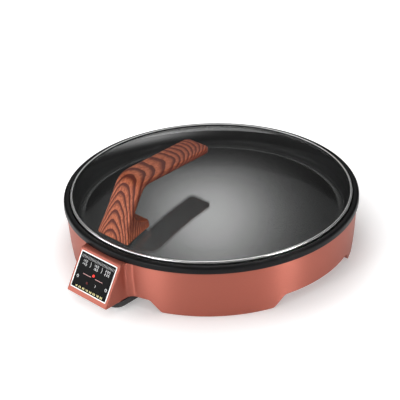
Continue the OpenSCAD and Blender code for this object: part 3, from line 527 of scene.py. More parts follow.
def board_finish(tint):
    """Circuit board: solder resist over paler traces."""
    made = Finish("solder_resist", tint, 0.35)
    values = {"Vector": made.place(scale=(1, 1, 0.3)), "Scale": 420.0}
    cells = made.node("TexVoronoi", values, distance="MANHATTAN", feature="DISTANCE_TO_EDGE")
    trace = made.spread(cells.outputs["Distance"], 1, 0, 0.05, 0.09)
    made.vary(trace, tint, 1, 1.9)
    made.bump(trace, 0.03 * MM, 0.5)
    return made.material


def striped_wire_finish(tint):
    """Wire insulation with two colours in a slanted stripe."""
    made = Finish("earth_insulation", tint, 0.45)
    stripe = made.node("TexWave", {"Vector": made.place(), "Scale": 60.0}, bands_direction="DIAGONAL")
    stripe = made.spread(stripe.outputs["Fac"], 0, 1, 0.45, 0.55)
    made.link(made.blend(stripe, tint, (0.75, 0.6, 0.03)), "Base Color")
    return made.material


def lamp_finish(name, tint, glow):
    """Coloured lens with a faint grain."""
    made = Finish(
        name, tint, 0.25, Specular_IOR_Level=0.15, Emission_Color=(*tint, 1), Emission_Strength=glow
    )
    made.vary(made.noise(made.place(), 900, 2), tint, 0.9, 1.1)
    return made.material


def panel_finish(tint):
    """Black acrylic with a faint haze."""
    made = Finish("panel_black", tint, 0.30, Specular_IOR_Level=0.05)
    haze = made.noise(made.place(), 120, 3)
    made.link(made.spread(haze, 0.26, 0.34), "Roughness")
    made.vary(haze, tint, 1, 1.6)
    return made.material


def glowing_print_finish(name, tint):
    """Screen print: flat, slightly uneven ink, with a faint glow that is painted light."""
    # The ink's faint glow is painted light; the print itself gives none
    made = Finish(name, tint, 0.5, Emission_Color=(*tint, 1), Emission_Strength=0.25)
    made.vary(made.noise(made.place(), 2500, 2), tint, 0.9, 1.05)
    return made.material


def wood_finish(settings):
    """Lacquered wood: nested arches along the strip, fine fibres and dark pores.

    With the distance u across and v along the strip, in millimetres, a line of the figure is where
    the count of rings up to v + left * min(u, 0)^2 + right * max(u, 0)^2 is a whole number. Above the
    foot, the sides, the underside and the rear are darkened as painted shade.
    """
    light = tuple(settings.light_wood)
    dark = tuple(settings.dark_wood)
    stem_end = 70
    bend_end = 128
    grip_length = 62
    made = Finish("figured_wood", light, 0.55, Specular_IOR_Level=0.3)
    spot = made.node("SeparateXYZ", {"Vector": made.place("UV", (1000, 1000, 1))}).outputs
    across, along = spot["X"], spot["Y"]

    def bow(side, near, far):
        """Weight times side^2, with a weight that changes along the strip."""
        weight = made.spread(along, near, far, 45, 95)
        return made.math("MULTIPLY", made.math("MULTIPLY", side, side), weight)

    wander = made.noise(made.place("UV", (8, 16, 1)), 1.0, 2)
    wander = made.math("MULTIPLY_ADD", wander, 8.0, -4.0)
    aside = made.math("ADD", across, made.math("ADD", made.spread(along, 6, 3, 40, 90), wander))
    left = bow(made.math("MINIMUM", aside, 0.0), 0.16, 0.008)
    right = bow(made.math("MAXIMUM", aside, 0.0), 0.05, 0.036)
    warp = made.noise(made.place("UV", (34, 22, 1), (3, 7, 0)), 1.0, 2)
    reach = made.math("ADD", along, made.math("ADD", left, right))
    reach = made.math("ADD", reach, made.math("MULTIPLY_ADD", warp, 12.0, -6.0))
    stem = made.spread(reach, 0, 6.6, 0, stem_end)
    bend = made.spread(reach, 0, 3.7, stem_end, bend_end)
    grip = made.math("MULTIPLY_ADD", reach, 1 / grip_length, -bend_end / grip_length)
    grip = made.math("POWER", made.math("MAXIMUM", grip, 0.0), 1.3)
    rings = made.math("MULTIPLY_ADD", grip, 8.0, made.math("ADD", stem, bend))
    ring = made.math("FRACT", rings)
    ramp = made.math("POWER", made.spread(ring, 0, 1, 0.25, 0.70), 1.4)
    line = made.math("MULTIPLY", ramp, made.spread(ring, 1, 0, 0.94, 1.0))

    fibre = made.noise(made.place("UV", (620, 90, 1)), 1.0, 4, 0.75)
    pores = made.noise(made.place("UV", (520, 240, 1)), 1.0, 3, 0.75)
    tone = made.blend(made.spread(fibre, 0, 0.7, 0.40, 0.66), shade(light, 1.15), shade(dark, 2.6))
    tone = made.blend(made.spread(along, 0, 0.5, 105, 195), tone, shade(dark, 2.2))
    tone = made.blend(made.spread(line, 0, 0.95, 0, 1), tone, dark)
    tone = made.blend(made.spread(pores, 0, 0.75, 0.50, 0.66), tone, shade(dark, 1.5))

    # Painted shade: above the foot, the sides, the underside and the rear get darker by the way they face
    facing = made.node("SeparateXYZ", {"Vector": made.node("TexCoord").outputs["Normal"]}).outputs
    side = made.spread(made.math("ABSOLUTE", facing["X"]), 0, 0.6, 0.5, 0.9)
    under = made.spread(facing["Z"], 0.9, 0, -0.6, -0.2)
    rear = made.spread(facing["Y"], 0, 0.9, 0.3, 0.7)
    height = made.node("SeparateXYZ", {"Vector": made.place()}).outputs["Z"]
    painted_shade = made.math("ADD", side, made.math("ADD", under, rear))
    painted_shade = made.math("MULTIPLY", painted_shade, made.spread(height, 0.15, 1, 84 * MM, 94 * MM))
    painted_shade = made.math("MINIMUM", painted_shade, 0.9)
    made.link(made.blend(painted_shade, tone, shade(dark, 0.8)), "Base Color")
    made.link(made.spread(fibre, 0.5, 0.62), "Roughness")
    made.bump(made.math("SUBTRACT", fibre, line), 0.05 * MM, 0.3)
    return made.material


# Casing


def wall_radius(s, z):
    """Radius of the bowed wall at height z: R - b + sqrt(b^2 - (top - z)^2)."""
    return s.top_radius - s.bow_radius + np.sqrt(s.bow_radius**2 - (s.top_z - z) ** 2)


def arch_height(s, offset):
    """Underside of the wall at a distance from an arch's middle: a trapezoid with rounded corners.

    It is the lower of the arch's top and its sloping side, held above the leg's underside.
    """
    slope = ARCH_Z / ((s.arch_foot - s.arch_top) / 2)
    side = ARCH_Z - (np.abs(offset) - s.arch_top / 2) * slope
    arch = smooth_min(np.full_like(side, ARCH_Z), side, 3.2 * MM)
    return -smooth_min(-arch, np.full_like(side, -s.leg_z), 2.0 * MM)


def box_tangent(s, radius):
    """Sideways distance at which the control box's fillet meets the wall: (w + f) R / (R + f)."""
    return (s.box_width / 2 + s.box_fillet) * radius / (radius + s.box_fillet)


def box_shares(s):
    """Places across the control box, from -1 to 1, two of them beside the inlet's hole."""
    inlet = INLET_HALF / box_tangent(s, s.top_radius)
    near = (np.arange(INLET_COLUMNS) + 0.5) / (INLET_COLUMNS - 0.5) * inlet
    far = between(inlet, 1, BOX_HALF - INLET_COLUMNS + 1)[1:]
    right = np.concatenate([near, far])
    return np.concatenate([-right[::-1], right])


def quarter_turn(s, radius):
    """Angle of each column of a quarter from its arch's middle, for radii (rows, columns).

    A column at the sideways distance c stands at asin(c / R); the last ones fan out to the leg's middle,
    so the angle is (1 - f) asin(c / R) + f pi / 4.
    """
    fan = np.concatenate([np.zeros(FLANK_COLUMNS), between(0, 1, LEG_COLUMNS + 2)[1:-1]])
    near = between(40.5 * MM, 52 * MM, 5)
    flank = between(53 * MM, 71 * MM, FLANK_COLUMNS - len(near))
    fixed = np.concatenate([near, flank, np.full(LEG_COLUMNS, flank[-1])])
    fan = np.concatenate([[1], fan[::-1], np.zeros(2 * BOX_HALF), fan])
    side = np.concatenate([-np.ones(len(fixed) + 1), np.ones(2 * BOX_HALF + len(fixed))])
    share_of_box = np.concatenate([np.zeros(len(fixed) + 1), box_shares(s), np.zeros(len(fixed))])
    fixed = np.concatenate([fixed[-1:], fixed[::-1], np.zeros(2 * BOX_HALF), fixed])
    offset = fixed + share_of_box * box_tangent(s, radius)
    return side * ((1 - fan) * np.arcsin(offset / radius) + fan * math.pi / 4)


def wall_shares(s):
    """Heights of the wall's rows as shares of the stretch from its lower edge to the box's top.

    Two of them lie at the inlet's hole, and the last few close up to round the box's upper edge.
    """
    top = s.top_z - s.box_drop
    low = ARCH_Z + s.edge
    marks = [low, INLET_Z - INLET_RISE, INLET_Z + INLET_RISE, top - s.box_edge]
    stretches = [between(a, b, n)[:-1] for a, b, n in zip(marks, marks[1:], HOLE_STEPS)]
    rounding = top - s.box_edge + s.box_edge * np.sin(between(0, QUARTER, 6))
    return (np.concatenate([*stretches, rounding]) - low) / (top - low)


def casing_rows(s, under):
    """Closed outline (R, z) of the casing for each column, and the numbers of some of its rows.

    From the flange's inner edge it runs under the flange, down a leg's back, along its sole, up the
    bowed wall, over the lip, and down the inside. A leg's depth follows the arch's outline.
    """
    deep = (ARCH_Z - under) / (ARCH_Z - s.leg_z)
    box_top = s.top_z - s.box_drop
    flange_top = ARCH_Z + s.flange_t
    lip_z = s.top_z - 2.2 * MM
    sole_r = wall_radius(s, under + s.edge)
    taper = 4 * MM * (1 - deep)
    rows = [(s.flange, flange_top), (s.flange, ARCH_Z), (s.flange + 5 * MM, ARCH_Z)]
    rows += [(s.leg_rear - taper * (1 - t), ARCH_Z - (ARCH_Z - under) * t) for t in between(0, 1, 5)]
    rows += [(s.leg_rear + (sole_r - s.edge - s.leg_rear) * t, under) for t in between(0.08, 1, 6)]
    marks = {"sole": len(rows) - 1}
    for t in np.radians([30, 60]):
        rows.append((sole_r - s.edge * (1 - math.sin(t)), under + s.edge * (1 - math.cos(t))))
    low = under + s.edge
    marks["wall"] = len(rows)
    rows += [(wall_radius(s, low + (box_top - low) * t), low + (box_top - low) * t) for t in wall_shares(s)]
    marks["lintel"] = len(rows) - 1
    for drop, inset in ((0.9, 0.0), (0.5, 0.0), (0.15, 0.15), (0.0, 0.5)):
        z = s.top_z - drop * MM
        rows.append((wall_radius(s, z) - inset * MM, z))
    rows += [(s.neck, s.top_z), (s.neck, lip_z)]
    marks["inside"] = len(rows)
    opening = between(INLET_Z + INLET_RISE, INLET_Z - INLET_RISE, HOLE_STEPS[1])
    rows += [(wall_radius(s, z) - s.wall, z) for z in (lip_z, 50 * MM, *opening, flange_top)]
    radius = np.stack([np.broadcast_to(r, under.shape) for r, z in rows])
    height = np.stack([np.broadcast_to(z, under.shape) for r, z in rows])
    return radius, height, marks


def border(patch):
    """Closed loop round the edge of a grid of points."""
    return np.concatenate([patch[0, :-1], patch[:-1, -1], patch[-1, :0:-1], patch[:0:-1, 0]])


def casing_shell(s):
    """Grid of the casing, open behind the control box, and the lining of the inlet's hole.

    x = R sin a, y = axis - R cos a, with the angle a of each column from quarter_turn.
    """
    probe = np.full((1, 2 * (FLANK_COLUMNS + LEG_COLUMNS + BOX_HALF) + 1), s.leg_rear)
    turn = quarter_turn(s, probe)
    under = arch_height(s, s.leg_rear * np.sin(turn[0]))
    radius, height, marks = casing_rows(s, under)
    turn = quarter_turn(s, radius)
    around = np.hstack([turn + k * QUARTER for k in range(4)])
    radius = np.tile(radius, 4)
    height = np.tile(height, 4)
    points = np.stack([radius * np.sin(around), AXIS_Y - radius * np.cos(around), height], axis=-1)
    around = np.hstack([around, around[:, :1] + 4 * QUARTER])
    uv = np.stack([around / (4 * QUARTER), np.hstack([height, height[:, :1]])], axis=-1)
    keep = np.ones(radius.shape, bool)
    first = FLANK_COLUMNS + LEG_COLUMNS + 1
    keep[marks["sole"]:marks["lintel"], first:first + 2 * BOX_HALF - 1] = False
    hole = 2 * turn.shape[1] + first + BOX_HALF - INLET_COLUMNS
    hole = slice(hole, hole + 2 * INLET_COLUMNS - 1)
    low = marks["wall"] + HOLE_STEPS[0] - 1
    keep[low:low + HOLE_STEPS[1] - 1, hole] = False
    back = marks["inside"] + 2
    keep[back:back + HOLE_STEPS[1] - 1, hole] = False
    wide = slice(hole.start, hole.stop + 1)
    outside = border(points[low:low + HOLE_STEPS[1], wide])
    inside = border(points[back:back + HOLE_STEPS[1], wide][::-1])
    lining = {"points": np.stack([outside, inside]), "wrap_columns": True}
    grid = {"points": points, "wrap_rows": True, "wrap_columns": True, "keep": keep,
            "uv": np.concatenate([uv, uv[:1]])}
    seam = points[marks["sole"]:marks["lintel"] + 1, first:first + 2 * BOX_HALF]
    return grid, lining, seam


def box_outline(s, z):
    """Right half of the control box's outline at height z, with its outward directions.

    From the front's middle it runs along the sloping front, round the edge, back along the side, and
    round the fillet f about (w + f, -sqrt((R + f)^2 - (w + f)^2)) until it meets the wall of radius R.
    """
    half = s.box_width / 2
    edge = s.box_edge
    reach = half + s.box_fillet
    box_top = s.top_z - s.box_drop
    front = -BOX_REACH + (BOX_REACH - s.box_top_reach) * (z - ARCH_Z) / (box_top - ARCH_Z)
    depth = -math.sqrt((wall_radius(s, z) + s.box_fillet) ** 2 - reach**2)
    face = (np.arange(FACE_STEPS) + 0.5) / FACE_STEPS * (half - edge)
    face = np.stack([face, np.full(FACE_STEPS, front)], axis=-1)
    corner = np.radians(between(-90, 0, EDGE_STEPS))
    corner = np.stack([np.cos(corner), np.sin(corner)], axis=-1)
    side = between((half, front + edge), (half, depth), SIDE_STEPS + 2)[1:-1]
    bend = between(math.pi, math.atan2(-depth, -reach), FILLET_STEPS)
    bend = np.stack([np.cos(bend), np.sin(bend)], axis=-1)
    points = np.vstack([face, (half - edge, front + edge) + edge * corner, side,
                        (reach, depth) + s.box_fillet * bend])
    outward = np.vstack([np.tile((0, -1), (FACE_STEPS, 1)), corner, np.tile((1, 0), (SIDE_STEPS, 1)), -bend])
    return points, outward


def box_patch(s, seam):
    """Grid of the control box, sewn to the open edge of the casing's shell.

    Each row is the outline at one height, drawn in by the roundings of the lower and upper edges.
    The upper rounding fades out along the fillet, where the box runs into the wall.
    """
    low = ARCH_Z + s.edge
    box_top = s.top_z - s.box_drop
    count = FACE_STEPS + EDGE_STEPS + SIDE_STEPS
    fade = np.concatenate([np.ones(count), smooth_step(between(1, 0, FILLET_STEPS))])[:, None]
    rows = []

    def add(z, level, inset):
        """Adds a row at height z: the outline at a level, drawn in by an inset and mirrored."""
        points, outward = box_outline(s, level)
        points = points - outward * inset
        points = np.vstack([points[::-1] * (-1, 1), points])
        rows.append(np.column_stack([points[:, 0], AXIS_Y + points[:, 1], np.full(len(points), z)]))

    for t in np.radians([0, 30, 60]):
        add(ARCH_Z + s.edge * (1 - math.cos(t)), low, s.edge * (1 - math.sin(t)))
    for z in low + (box_top - low) * wall_shares(s):
        above = max(0.0, z - box_top + s.box_edge) / s.box_edge
        add(z, z, s.box_edge * (1 - math.sqrt(max(0.0, 1 - above**2))) * fade)
    points = np.stack([seam[0], *rows, seam[-1]])
    sides = np.concatenate([seam[:1], seam, seam[-1:]])
    points[:, 0] = sides[:, 0]
    points[:, -1] = sides[:, -1]
    turn = np.arctan2(points[..., 0], AXIS_Y - points[..., 1]) / (4 * QUARTER)
    return {"points": points, "uv": np.stack([turn, points[..., 2]], axis=-1)}


def rounded_loop(width, height, radius, steps=6):
    """Closed loop of a rectangle with round corners, the same number of points for every size."""
    corners = ((1, 1, 0), (-1, 1, 90), (-1, -1, 180), (1, -1, 270))
    quarter = [
        arc((x * (width / 2 - radius), y * (height / 2 - radius)), radius, start, start + 90, steps)
        for x, y, start in corners
    ]
    return np.vstack(quarter)


def frame_rows(outer, inner, low, high, edge):
    """Rows (x, y, level) of a flat frame between two loops, with its upper edges rounded.

    outer and inner give a loop for an inset; along a rounding the inset is e (1 - cos t) and the level
    h - e + e sin t, with t from 0 to 90 degrees.
    """
    turns = np.radians((0, 30, 60, 90))
    insets = edge * (1 - np.cos(turns))
    levels = high - edge + edge * np.sin(turns)
    rows = [(outer(0), low)]
    rows += [(outer(inset), level) for inset, level in zip(insets, levels)]
    rows += [(inner(inset), level) for inset, level in zip(insets[::-1], levels[::-1])]
    rows.append((inner(0), low))
    return np.stack([np.column_stack([loop, np.full(len(loop), level)]) for loop, level in rows])


def inlet_pad(s):
    """Grid of the flat frame on the wall's back, on which the power inlet is screwed."""
    high = wall_radius(s, INLET_HIGH.z) - 0.05 * MM
    rows = frame_rows(
        lambda inset: rounded_loop(50 * MM - 2 * inset, 24.2 * MM - 2 * inset, 2 * MM - inset),
        lambda inset: rounded_loop(2 * INLET_HALF + 2 * inset, 2 * INLET_RISE + 2 * inset, 1 * MM + inset),
        high - 7 * MM, high, 0.4 * MM,
    )
    points = np.stack([rows[..., 0], AXIS_Y + rows[..., 2], INLET_Z + rows[..., 1]], axis=-1)
    return {"points": points, "wrap_rows": True, "wrap_columns": True}


class BAKING_PAN_OT_casing(bpy.types.Operator):
    """Builds the painted casing with its legs, arches and control box"""

    bl_idname = "baking_pan.casing"
    bl_label = "Casing"

    def execute(self, context):
        s = context.scene.baking_pan.casing
        shell, lining, seam = casing_shell(s)
        grids = [shell, lining, box_patch(s, seam), inlet_pad(s)]
        piece = grid_object("casing_skin", grids, paint_finish(s), sharp=40)
        settle(piece, "base", "copper_casing", "casing")
        return {"FINISHED"}


# Pan


def pan_profile(s):
    """Half section (r, z) of the pan, from the underside's middle, over the rim, to the floor's middle."""
    foot = s.bowl_radius - s.corner
    shell = s.corner + s.wall
    roll = 3 * MM
    inner = 1.2 * MM
    lip = 0.8 * MM
    hem = 0.4 * MM
    under = s.floor_z - s.floor_t
    return np.vstack([
        between((0, under), (foot, under), 14),
        arc((foot, under + shell), shell, -90, 0, 12),
        [(s.bowl_radius + s.wall, s.rim_under), (s.rim_radius - s.skirt, s.rim_under)],
        [(s.rim_radius - s.skirt, s.skirt_z)],
        arc((s.rim_radius - hem, s.skirt_z + hem), hem, -90, 0, 4),
        arc((s.rim_radius - roll, s.rim_z - roll), roll, 0, 90, 14),
        arc((s.ledge_radius + inner, s.rim_z - inner), inner, 90, 180, 8),
        [(s.ledge_radius, s.ledge_z + 0.3 * MM), (s.ledge_radius - 0.3 * MM, s.ledge_z)],
        arc((s.bowl_radius + lip, s.ledge_z - lip), lip, 90, 180, 6),
        arc((foot, s.floor_z + s.corner), s.corner, 0, -90, 16),
        between((foot, s.floor_z), (0, s.floor_z), 24)[1:],
    ])


class BAKING_PAN_OT_pan(bpy.types.Operator):
    """Builds the coated pan with its rolled rim"""

    bl_idname = "baking_pan.pan"
    bl_label = "Pan"

    def execute(self, context):
        s = context.scene.baking_pan.pan
        piece = grid_object("pan_skin", [lathe(pan_profile(s), 288)], coating_finish(s))
        settle(piece, "base", "nonstick_coat", "pan")
        return {"FINISHED"}


# Lid


def dome_height(s, radius, depth=0.0):
    """Height of the dome at a radius: c + sqrt((D - depth)^2 - r^2), with its centre c = apex - D."""
    return s.apex_z - s.dome_radius + np.sqrt((s.dome_radius - depth) ** 2 - radius**2)


def glass_profile(s):
    """Half section (r, z) of the dome: outer sphere, rounded edge, inner sphere."""
    edge = 1.2 * MM
    out = between(0, s.glass_radius - edge, 60)
    top = dome_height(s, out)
    bottom = dome_height(s, out, s.glass_t)
    rise = (top[-1] - bottom[-1]) / 2
    turn = between(QUARTER, -QUARTER, 12)[1:-1]
    rim = np.column_stack([out[-1] + edge * np.cos(turn), bottom[-1] + rise + rise * np.sin(turn)])
    return np.vstack([np.column_stack([out, top]), rim, np.column_stack([out, bottom])[::-1]])


def ring_profile(s):
    """Closed section (r, z) of the steel ring: a bead over its side, and the groove that holds the glass."""
    inner = s.ring_radius - s.ring_width
    groove = s.glass_radius + s.clearance
    lip = inner + s.liner
    top = dome_height(s, inner) + s.clearance
    bottom = dome_height(s, s.glass_radius, s.glass_t) - s.clearance
    edge = 0.7 * MM
    bead = 1.5 * MM
    recess = 0.9 * MM
    under_bead = -math.degrees(math.acos(1 - recess / bead))
    low, high = RING_LOW.z, RING_HIGH.z
    return np.vstack([
        arc((inner + 0.3 * MM, low + 0.3 * MM), 0.3 * MM, 180, 270, 4),
        arc((s.ring_radius - recess - edge, low + edge), edge, -90, 0, 6),
        arc((s.ring_radius - bead, high - bead), bead, under_bead, 90, 20),
        arc((lip + edge, high - edge), edge, 90, 180, 6),
        [(lip, top), (groove, top), (groove, bottom), (inner, bottom)],
    ])


def shade_liner_profile(s):
    """Closed section (r, z) of the dark strip between glass and ring, painted shade for the gap: a bead on
    top, an apron below.
    """
    inner = s.ring_radius - s.ring_width
    groove = s.glass_radius + s.clearance
    top = dome_height(s, inner) + s.clearance
    bottom = dome_height(s, s.glass_radius, s.glass_t) - s.clearance
    near = 0.02 * MM
    far = 0.12 * MM
    bead = 0.5 * MM
    lip = inner + s.liner - near
    hem = RING_LOW.z + 0.3 * MM
    crown = RING_HIGH.z - 0.35 * MM
    return np.vstack([
        [(lip, top - near), (groove - near, top - near), (groove - near, bottom + near)],
        [(inner - near, bottom + near), (inner - near, hem), (inner - far, hem)],
        [(inner - far, bottom + far), (groove - far, bottom + far), (groove - far, top - far)],
        [(inner, top - far)],
        arc((inner + bead, crown - bead), bead, 180, 90, 6),
        [(lip, crown)],
    ])


class BAKING_PAN_OT_lid(bpy.types.Operator):
    """Builds the glass dome, the steel ring round it, and a dark strip between them that paints the shade of
    the gap
    """

    bl_idname = "baking_pan.lid"
    bl_label = "Glass lid and ring"

    def execute(self, context):
        s = context.scene.baking_pan.lid
        glass = grid_object("lid_dome", [lathe(glass_profile(s), 288)], glass_finish(), sharp=60)
        settle(glass, "lid", "lid_glass", "lid_glass")
        steel = turned_steel_finish("ring_steel", tuple(s.steel), 0.30, 1.0)
        ring = grid_object("lid_trim", [ring_lathe(ring_profile(s), 288)], steel, sharp=50)
        settle(ring, "lid", "bright_steel", "lid_ring")
        # Black strip between ring and glass: painted shade, standing for the shade in that gap
        rubber = moulded_finish("shade_liner_black", (0.008, 0.008, 0.008), 0.6)
        liner = grid_object("lid_shade_liner", [ring_lathe(shade_liner_profile(s), 288)], rubber)
        settle(liner, "lid", "black_rubber")
        return {"FINISHED"}


# Handle


def handle_stations(s, lid):
    """Front points, rear points (y, z) and half widths along the handle, from its foot to its free end.

    The front runs from the foot up the bowed stem, round the corner and along the grip. The rear starts
    at the toe and follows a curve into the stem, then stays one thickness behind the front.
    """
    front_foot = np.array([-s.front, dome_height(lid, s.front) + s.seal + 1.5 * MM])
    bend = np.array([-s.bend, s.top_z])
    rise = bend - front_foot
    inward = np.array([rise[1], -rise[0]]) / np.linalg.norm(rise)

    def stem(t):
        """Front of the stem: a straight line from the foot to the bend, bowed by 4 b t (1 - t)."""
        t = t[:, None]
        return front_foot + t * rise - inward * s.stem_bow * 4 * t * (1 - t)

    def half(t):
        """Half the width: the foot's extra width fades with (1 - 2 t)^1.6 up the stem."""
        return s.width / 2 + (s.foot_width - s.width) / 2 * np.maximum(0, 1 - 2 * t) ** 1.6

    toe_y = s.foot_length - s.front
    toe_z = dome_height(lid, toe_y) + s.seal
    tip = 3 * MM
    low = between(0, 0.08, 9)
    swing = np.maximum(0, low / 0.08 - 0.5) * math.pi
    lift = np.minimum(low / 0.04, 1) * (s.thickness - tip - 0.5 * MM)
    toe = np.column_stack([toe_y - tip * (1 - np.cos(swing)), toe_z + 1 * MM + lift + tip * np.sin(swing)])
    curve = between(0, 1, 20)[1:]
    joined = 0.08 + 0.40 * curve
    meet = stem(joined)[-1] + inward * s.thickness
    control = np.array([meet[0] - 2 * MM, toe[-1, 1] + 1.5 * MM])
    rear = bezier(toe[-1], control, meet, curve)
    straight = between(0.48, 0.84, 14)[1:]
    corner_from = stem(np.array([0.84]))[0]
    corner_to = np.array([12 * MM - s.bend, s.top_z])
    turn = between(0, 1, 18)[1:]
    corner = bezier(corner_from, bend, corner_to, turn)
    slope = 2 * (1 - turn[:, None]) * (bend - corner_from) + 2 * turn[:, None] * (corner_to - bend)
    slope /= np.linalg.norm(slope, axis=-1)[:, None]
    normal = np.column_stack([slope[:, 1], -slope[:, 0]])
    grip_y = between(corner_to[0], -s.end - s.end_corner, 26)[1:]
    left = s.end_corner * (1 - np.sin(between(0, QUARTER, 14)[1:])) + 0.02 * MM
    narrow = s.width / 2 - s.end_corner + np.sqrt(s.end_corner**2 - (s.end_corner - left) ** 2)
    thin = np.maximum(0, s.edge - left)
    thin = s.edge - np.sqrt(s.edge**2 - thin**2)
    thin = np.concatenate([np.zeros_like(grip_y), thin])
    grip_y = np.concatenate([grip_y, -s.end - left])
    top = np.column_stack([grip_y, s.top_z - thin])
    under = np.column_stack([grip_y, s.top_z - s.thickness + thin])
    front = np.vstack([stem(low), stem(joined), stem(straight), corner, top])
    behind = np.vstack([stem(straight) + inward * s.thickness, corner + normal * s.thickness])
    rear = np.vstack([toe, rear, behind, under])
    even = np.full(len(front) - len(low) - len(joined) - len(straight) - len(narrow), s.width / 2)
    widths = np.concatenate([half(low), half(joined), half(straight), even, narrow])
    return front, rear, widths


def handle_section(half, deep, edge):
    """Ring (x, q) of a rounded section for each station: q runs from 0 at the front to the depth.

    It starts at the rear's middle, runs over the left side to the front, and back over the right side.
    """
    half, deep, edge = half[:, None], deep[:, None], edge[:, None]
    flat = between(0, 1, 10)[None, 1:]
    turn = between(0, QUARTER, 8)[None, 1:]
    side = between(0, 1, 6)[None, 1:]
    one = np.ones_like(flat)
    x = np.hstack([(half - edge) * flat, half - edge + edge * np.sin(turn), half * np.ones_like(side),
                   half - edge + edge * np.cos(turn), (half - edge) * (1 - flat)])
    q = np.hstack([deep * one, deep - edge + edge * np.cos(turn), deep - edge - (deep - 2 * edge) * side,
                   edge - edge * np.sin(turn), 0 * deep * one])
    zero = np.zeros_like(half)
    x = np.hstack([zero, -x, x[:, -2::-1]])
    q = np.hstack([deep, q, q[:, -2::-1]])
    return x, q


def handle_grid(s, lid):
    """Grid of the handle, closed below along the dome and closed at its free end."""
    front, rear, half = handle_stations(s, lid)
    span = rear - front
    deep = np.linalg.norm(span, axis=-1)
    x, q = handle_section(half, deep, np.minimum(s.edge, 0.49 * deep))
    y = front[:, :1] + span[:, :1] / deep[:, None] * q
    z = front[:, 1:] + span[:, 1:] / deep[:, None] * q
    steps = np.hypot(np.diff(x, axis=1, append=x[:, :1]), np.diff(q, axis=1, append=q[:, :1]))
    around = np.hstack([np.zeros((len(x), 1)), np.cumsum(steps, axis=1)])
    around = around - around[:, -1:] / 2
    along = travelled(front)
    shrink = np.array([0.0, 0.3, 0.6, 0.85, 0.97, 1.0])[:, None]
    middle_y = (y[0].min() + y[0].max()) / 2
    sole_x = x[0] * shrink
    sole_y = middle_y + (y[0] - middle_y) * shrink
    sole_z = dome_height(lid, np.hypot(sole_x, sole_y)) + s.seal + 0.1 * MM
    x = np.vstack([sole_x, x, np.zeros_like(x[:1])])
    y = np.vstack([sole_y, y, np.full_like(y[:1], y[-1].mean())])
    z = np.vstack([sole_z, z, np.full_like(z[:1], z[-1].mean())])
    around = np.vstack([np.repeat(around[:1], len(shrink), axis=0), around, around[-1:]])
    along = np.concatenate([along[0] - 4 * MM + 3 * MM * shrink[:, 0], along, along[-1:] + 1 * MM])
    along = np.broadcast_to(along[:, None], around.shape)
    points = np.stack([x, AXIS_Y + y, z], axis=-1)
    return {"points": points, "wrap_columns": True, "uv": np.stack([around, along], axis=-1)}


class BAKING_PAN_OT_handle(bpy.types.Operator):
    """Builds the bent wooden handle on the lid"""

    bl_idname = "baking_pan.handle"
    bl_label = "Handle"

    def execute(self, context):
        s = context.scene.baking_pan.handle
        grid = handle_grid(s, context.scene.baking_pan.lid)
        piece = grid_object("handle_strip", [grid], wood_finish(s), sharp=48)
        settle(piece, "lid", "handle_wood", "lid_handle")
        return {"FINISHED"}


# Touch panel


def on_face(casing, across, up, proud):
    """Points on the control box's sloping face, from distances across, up and out of it."""
    rise = casing.top_z - casing.box_drop - ARCH_Z
    tilt = math.atan2(rise, BOX_REACH - casing.box_top_reach)
    y = AXIS_Y - BOX_REACH + up * math.cos(tilt) - proud * math.sin(tilt)
    z = ARCH_Z + up * math.sin(tilt) + proud * math.cos(tilt)
    return np.stack([across, y, z], axis=-1)


def stroke(line, width):
    """Rows (x, y, level 0 or 1) of a flat stroke along a line, closed at both ends."""
    line = np.asarray(line, float)
    run = np.gradient(line, axis=0)
    run /= np.linalg.norm(run, axis=-1)[:, None]
    aside = np.column_stack([-run[:, 1], run[:, 0]]) * width / 2
    edges = [(line + aside, 0), (line + aside, 1), (line - aside, 1), (line - aside, 0)]
    rows = np.stack([np.column_stack([edge, np.full(len(edge), level)]) for edge, level in edges])
    ends = [np.repeat(rows[:, [k]].mean(axis=0, keepdims=True), 4, axis=0) for k in (0, -1)]
    return np.hstack([ends[0], rows, ends[1]])


SEGMENT_ENDS = {
    "a": ((0, 2), (1, 2)), "b": ((1, 2), (1, 1)), "c": ((1, 1), (1, 0)), "d": ((0, 0), (1, 0)),
    "e": ((0, 1), (0, 0)), "f": ((0, 2), (0, 1)), "g": ((0, 1), (1, 1)),
}
DIGIT_SEGMENTS = ("abcdef", "bc", "abged", "abgcd", "fgbc", "afgcd", "afgedc", "abc", "abcdefg", "abcdfg")
SEGMENT_SHARE = 0.88


def digit_lines(digit, spot, height):
    """Lines of a seven-part digit, with its middle at a spot and small gaps between the parts."""
    scale = height / 2
    corner = np.array(spot) - (scale / 2, scale)
    ends = np.array([SEGMENT_ENDS[part] for part in DIGIT_SEGMENTS[digit]], float)
    middle = ends.mean(axis=1, keepdims=True)
    return list(corner + scale * (middle + SEGMENT_SHARE * (ends - middle)))


def number_lines(text, spot, height):
    """Lines of a row of digits, spread evenly about a spot."""
    step = height * 1.2
    lines = []
    for place, digit in enumerate(text):
        offset = (place - (len(text) - 1) / 2) * step
        lines += digit_lines(int(digit), (spot[0] + offset, spot[1]), height)
    return lines


def tick_lines():
    """Lines of the upper row of ticks, in millimetres on the face."""
    return [[(u, 43.9), (u, 47.1)] for u in between(-26, 26, 27)]


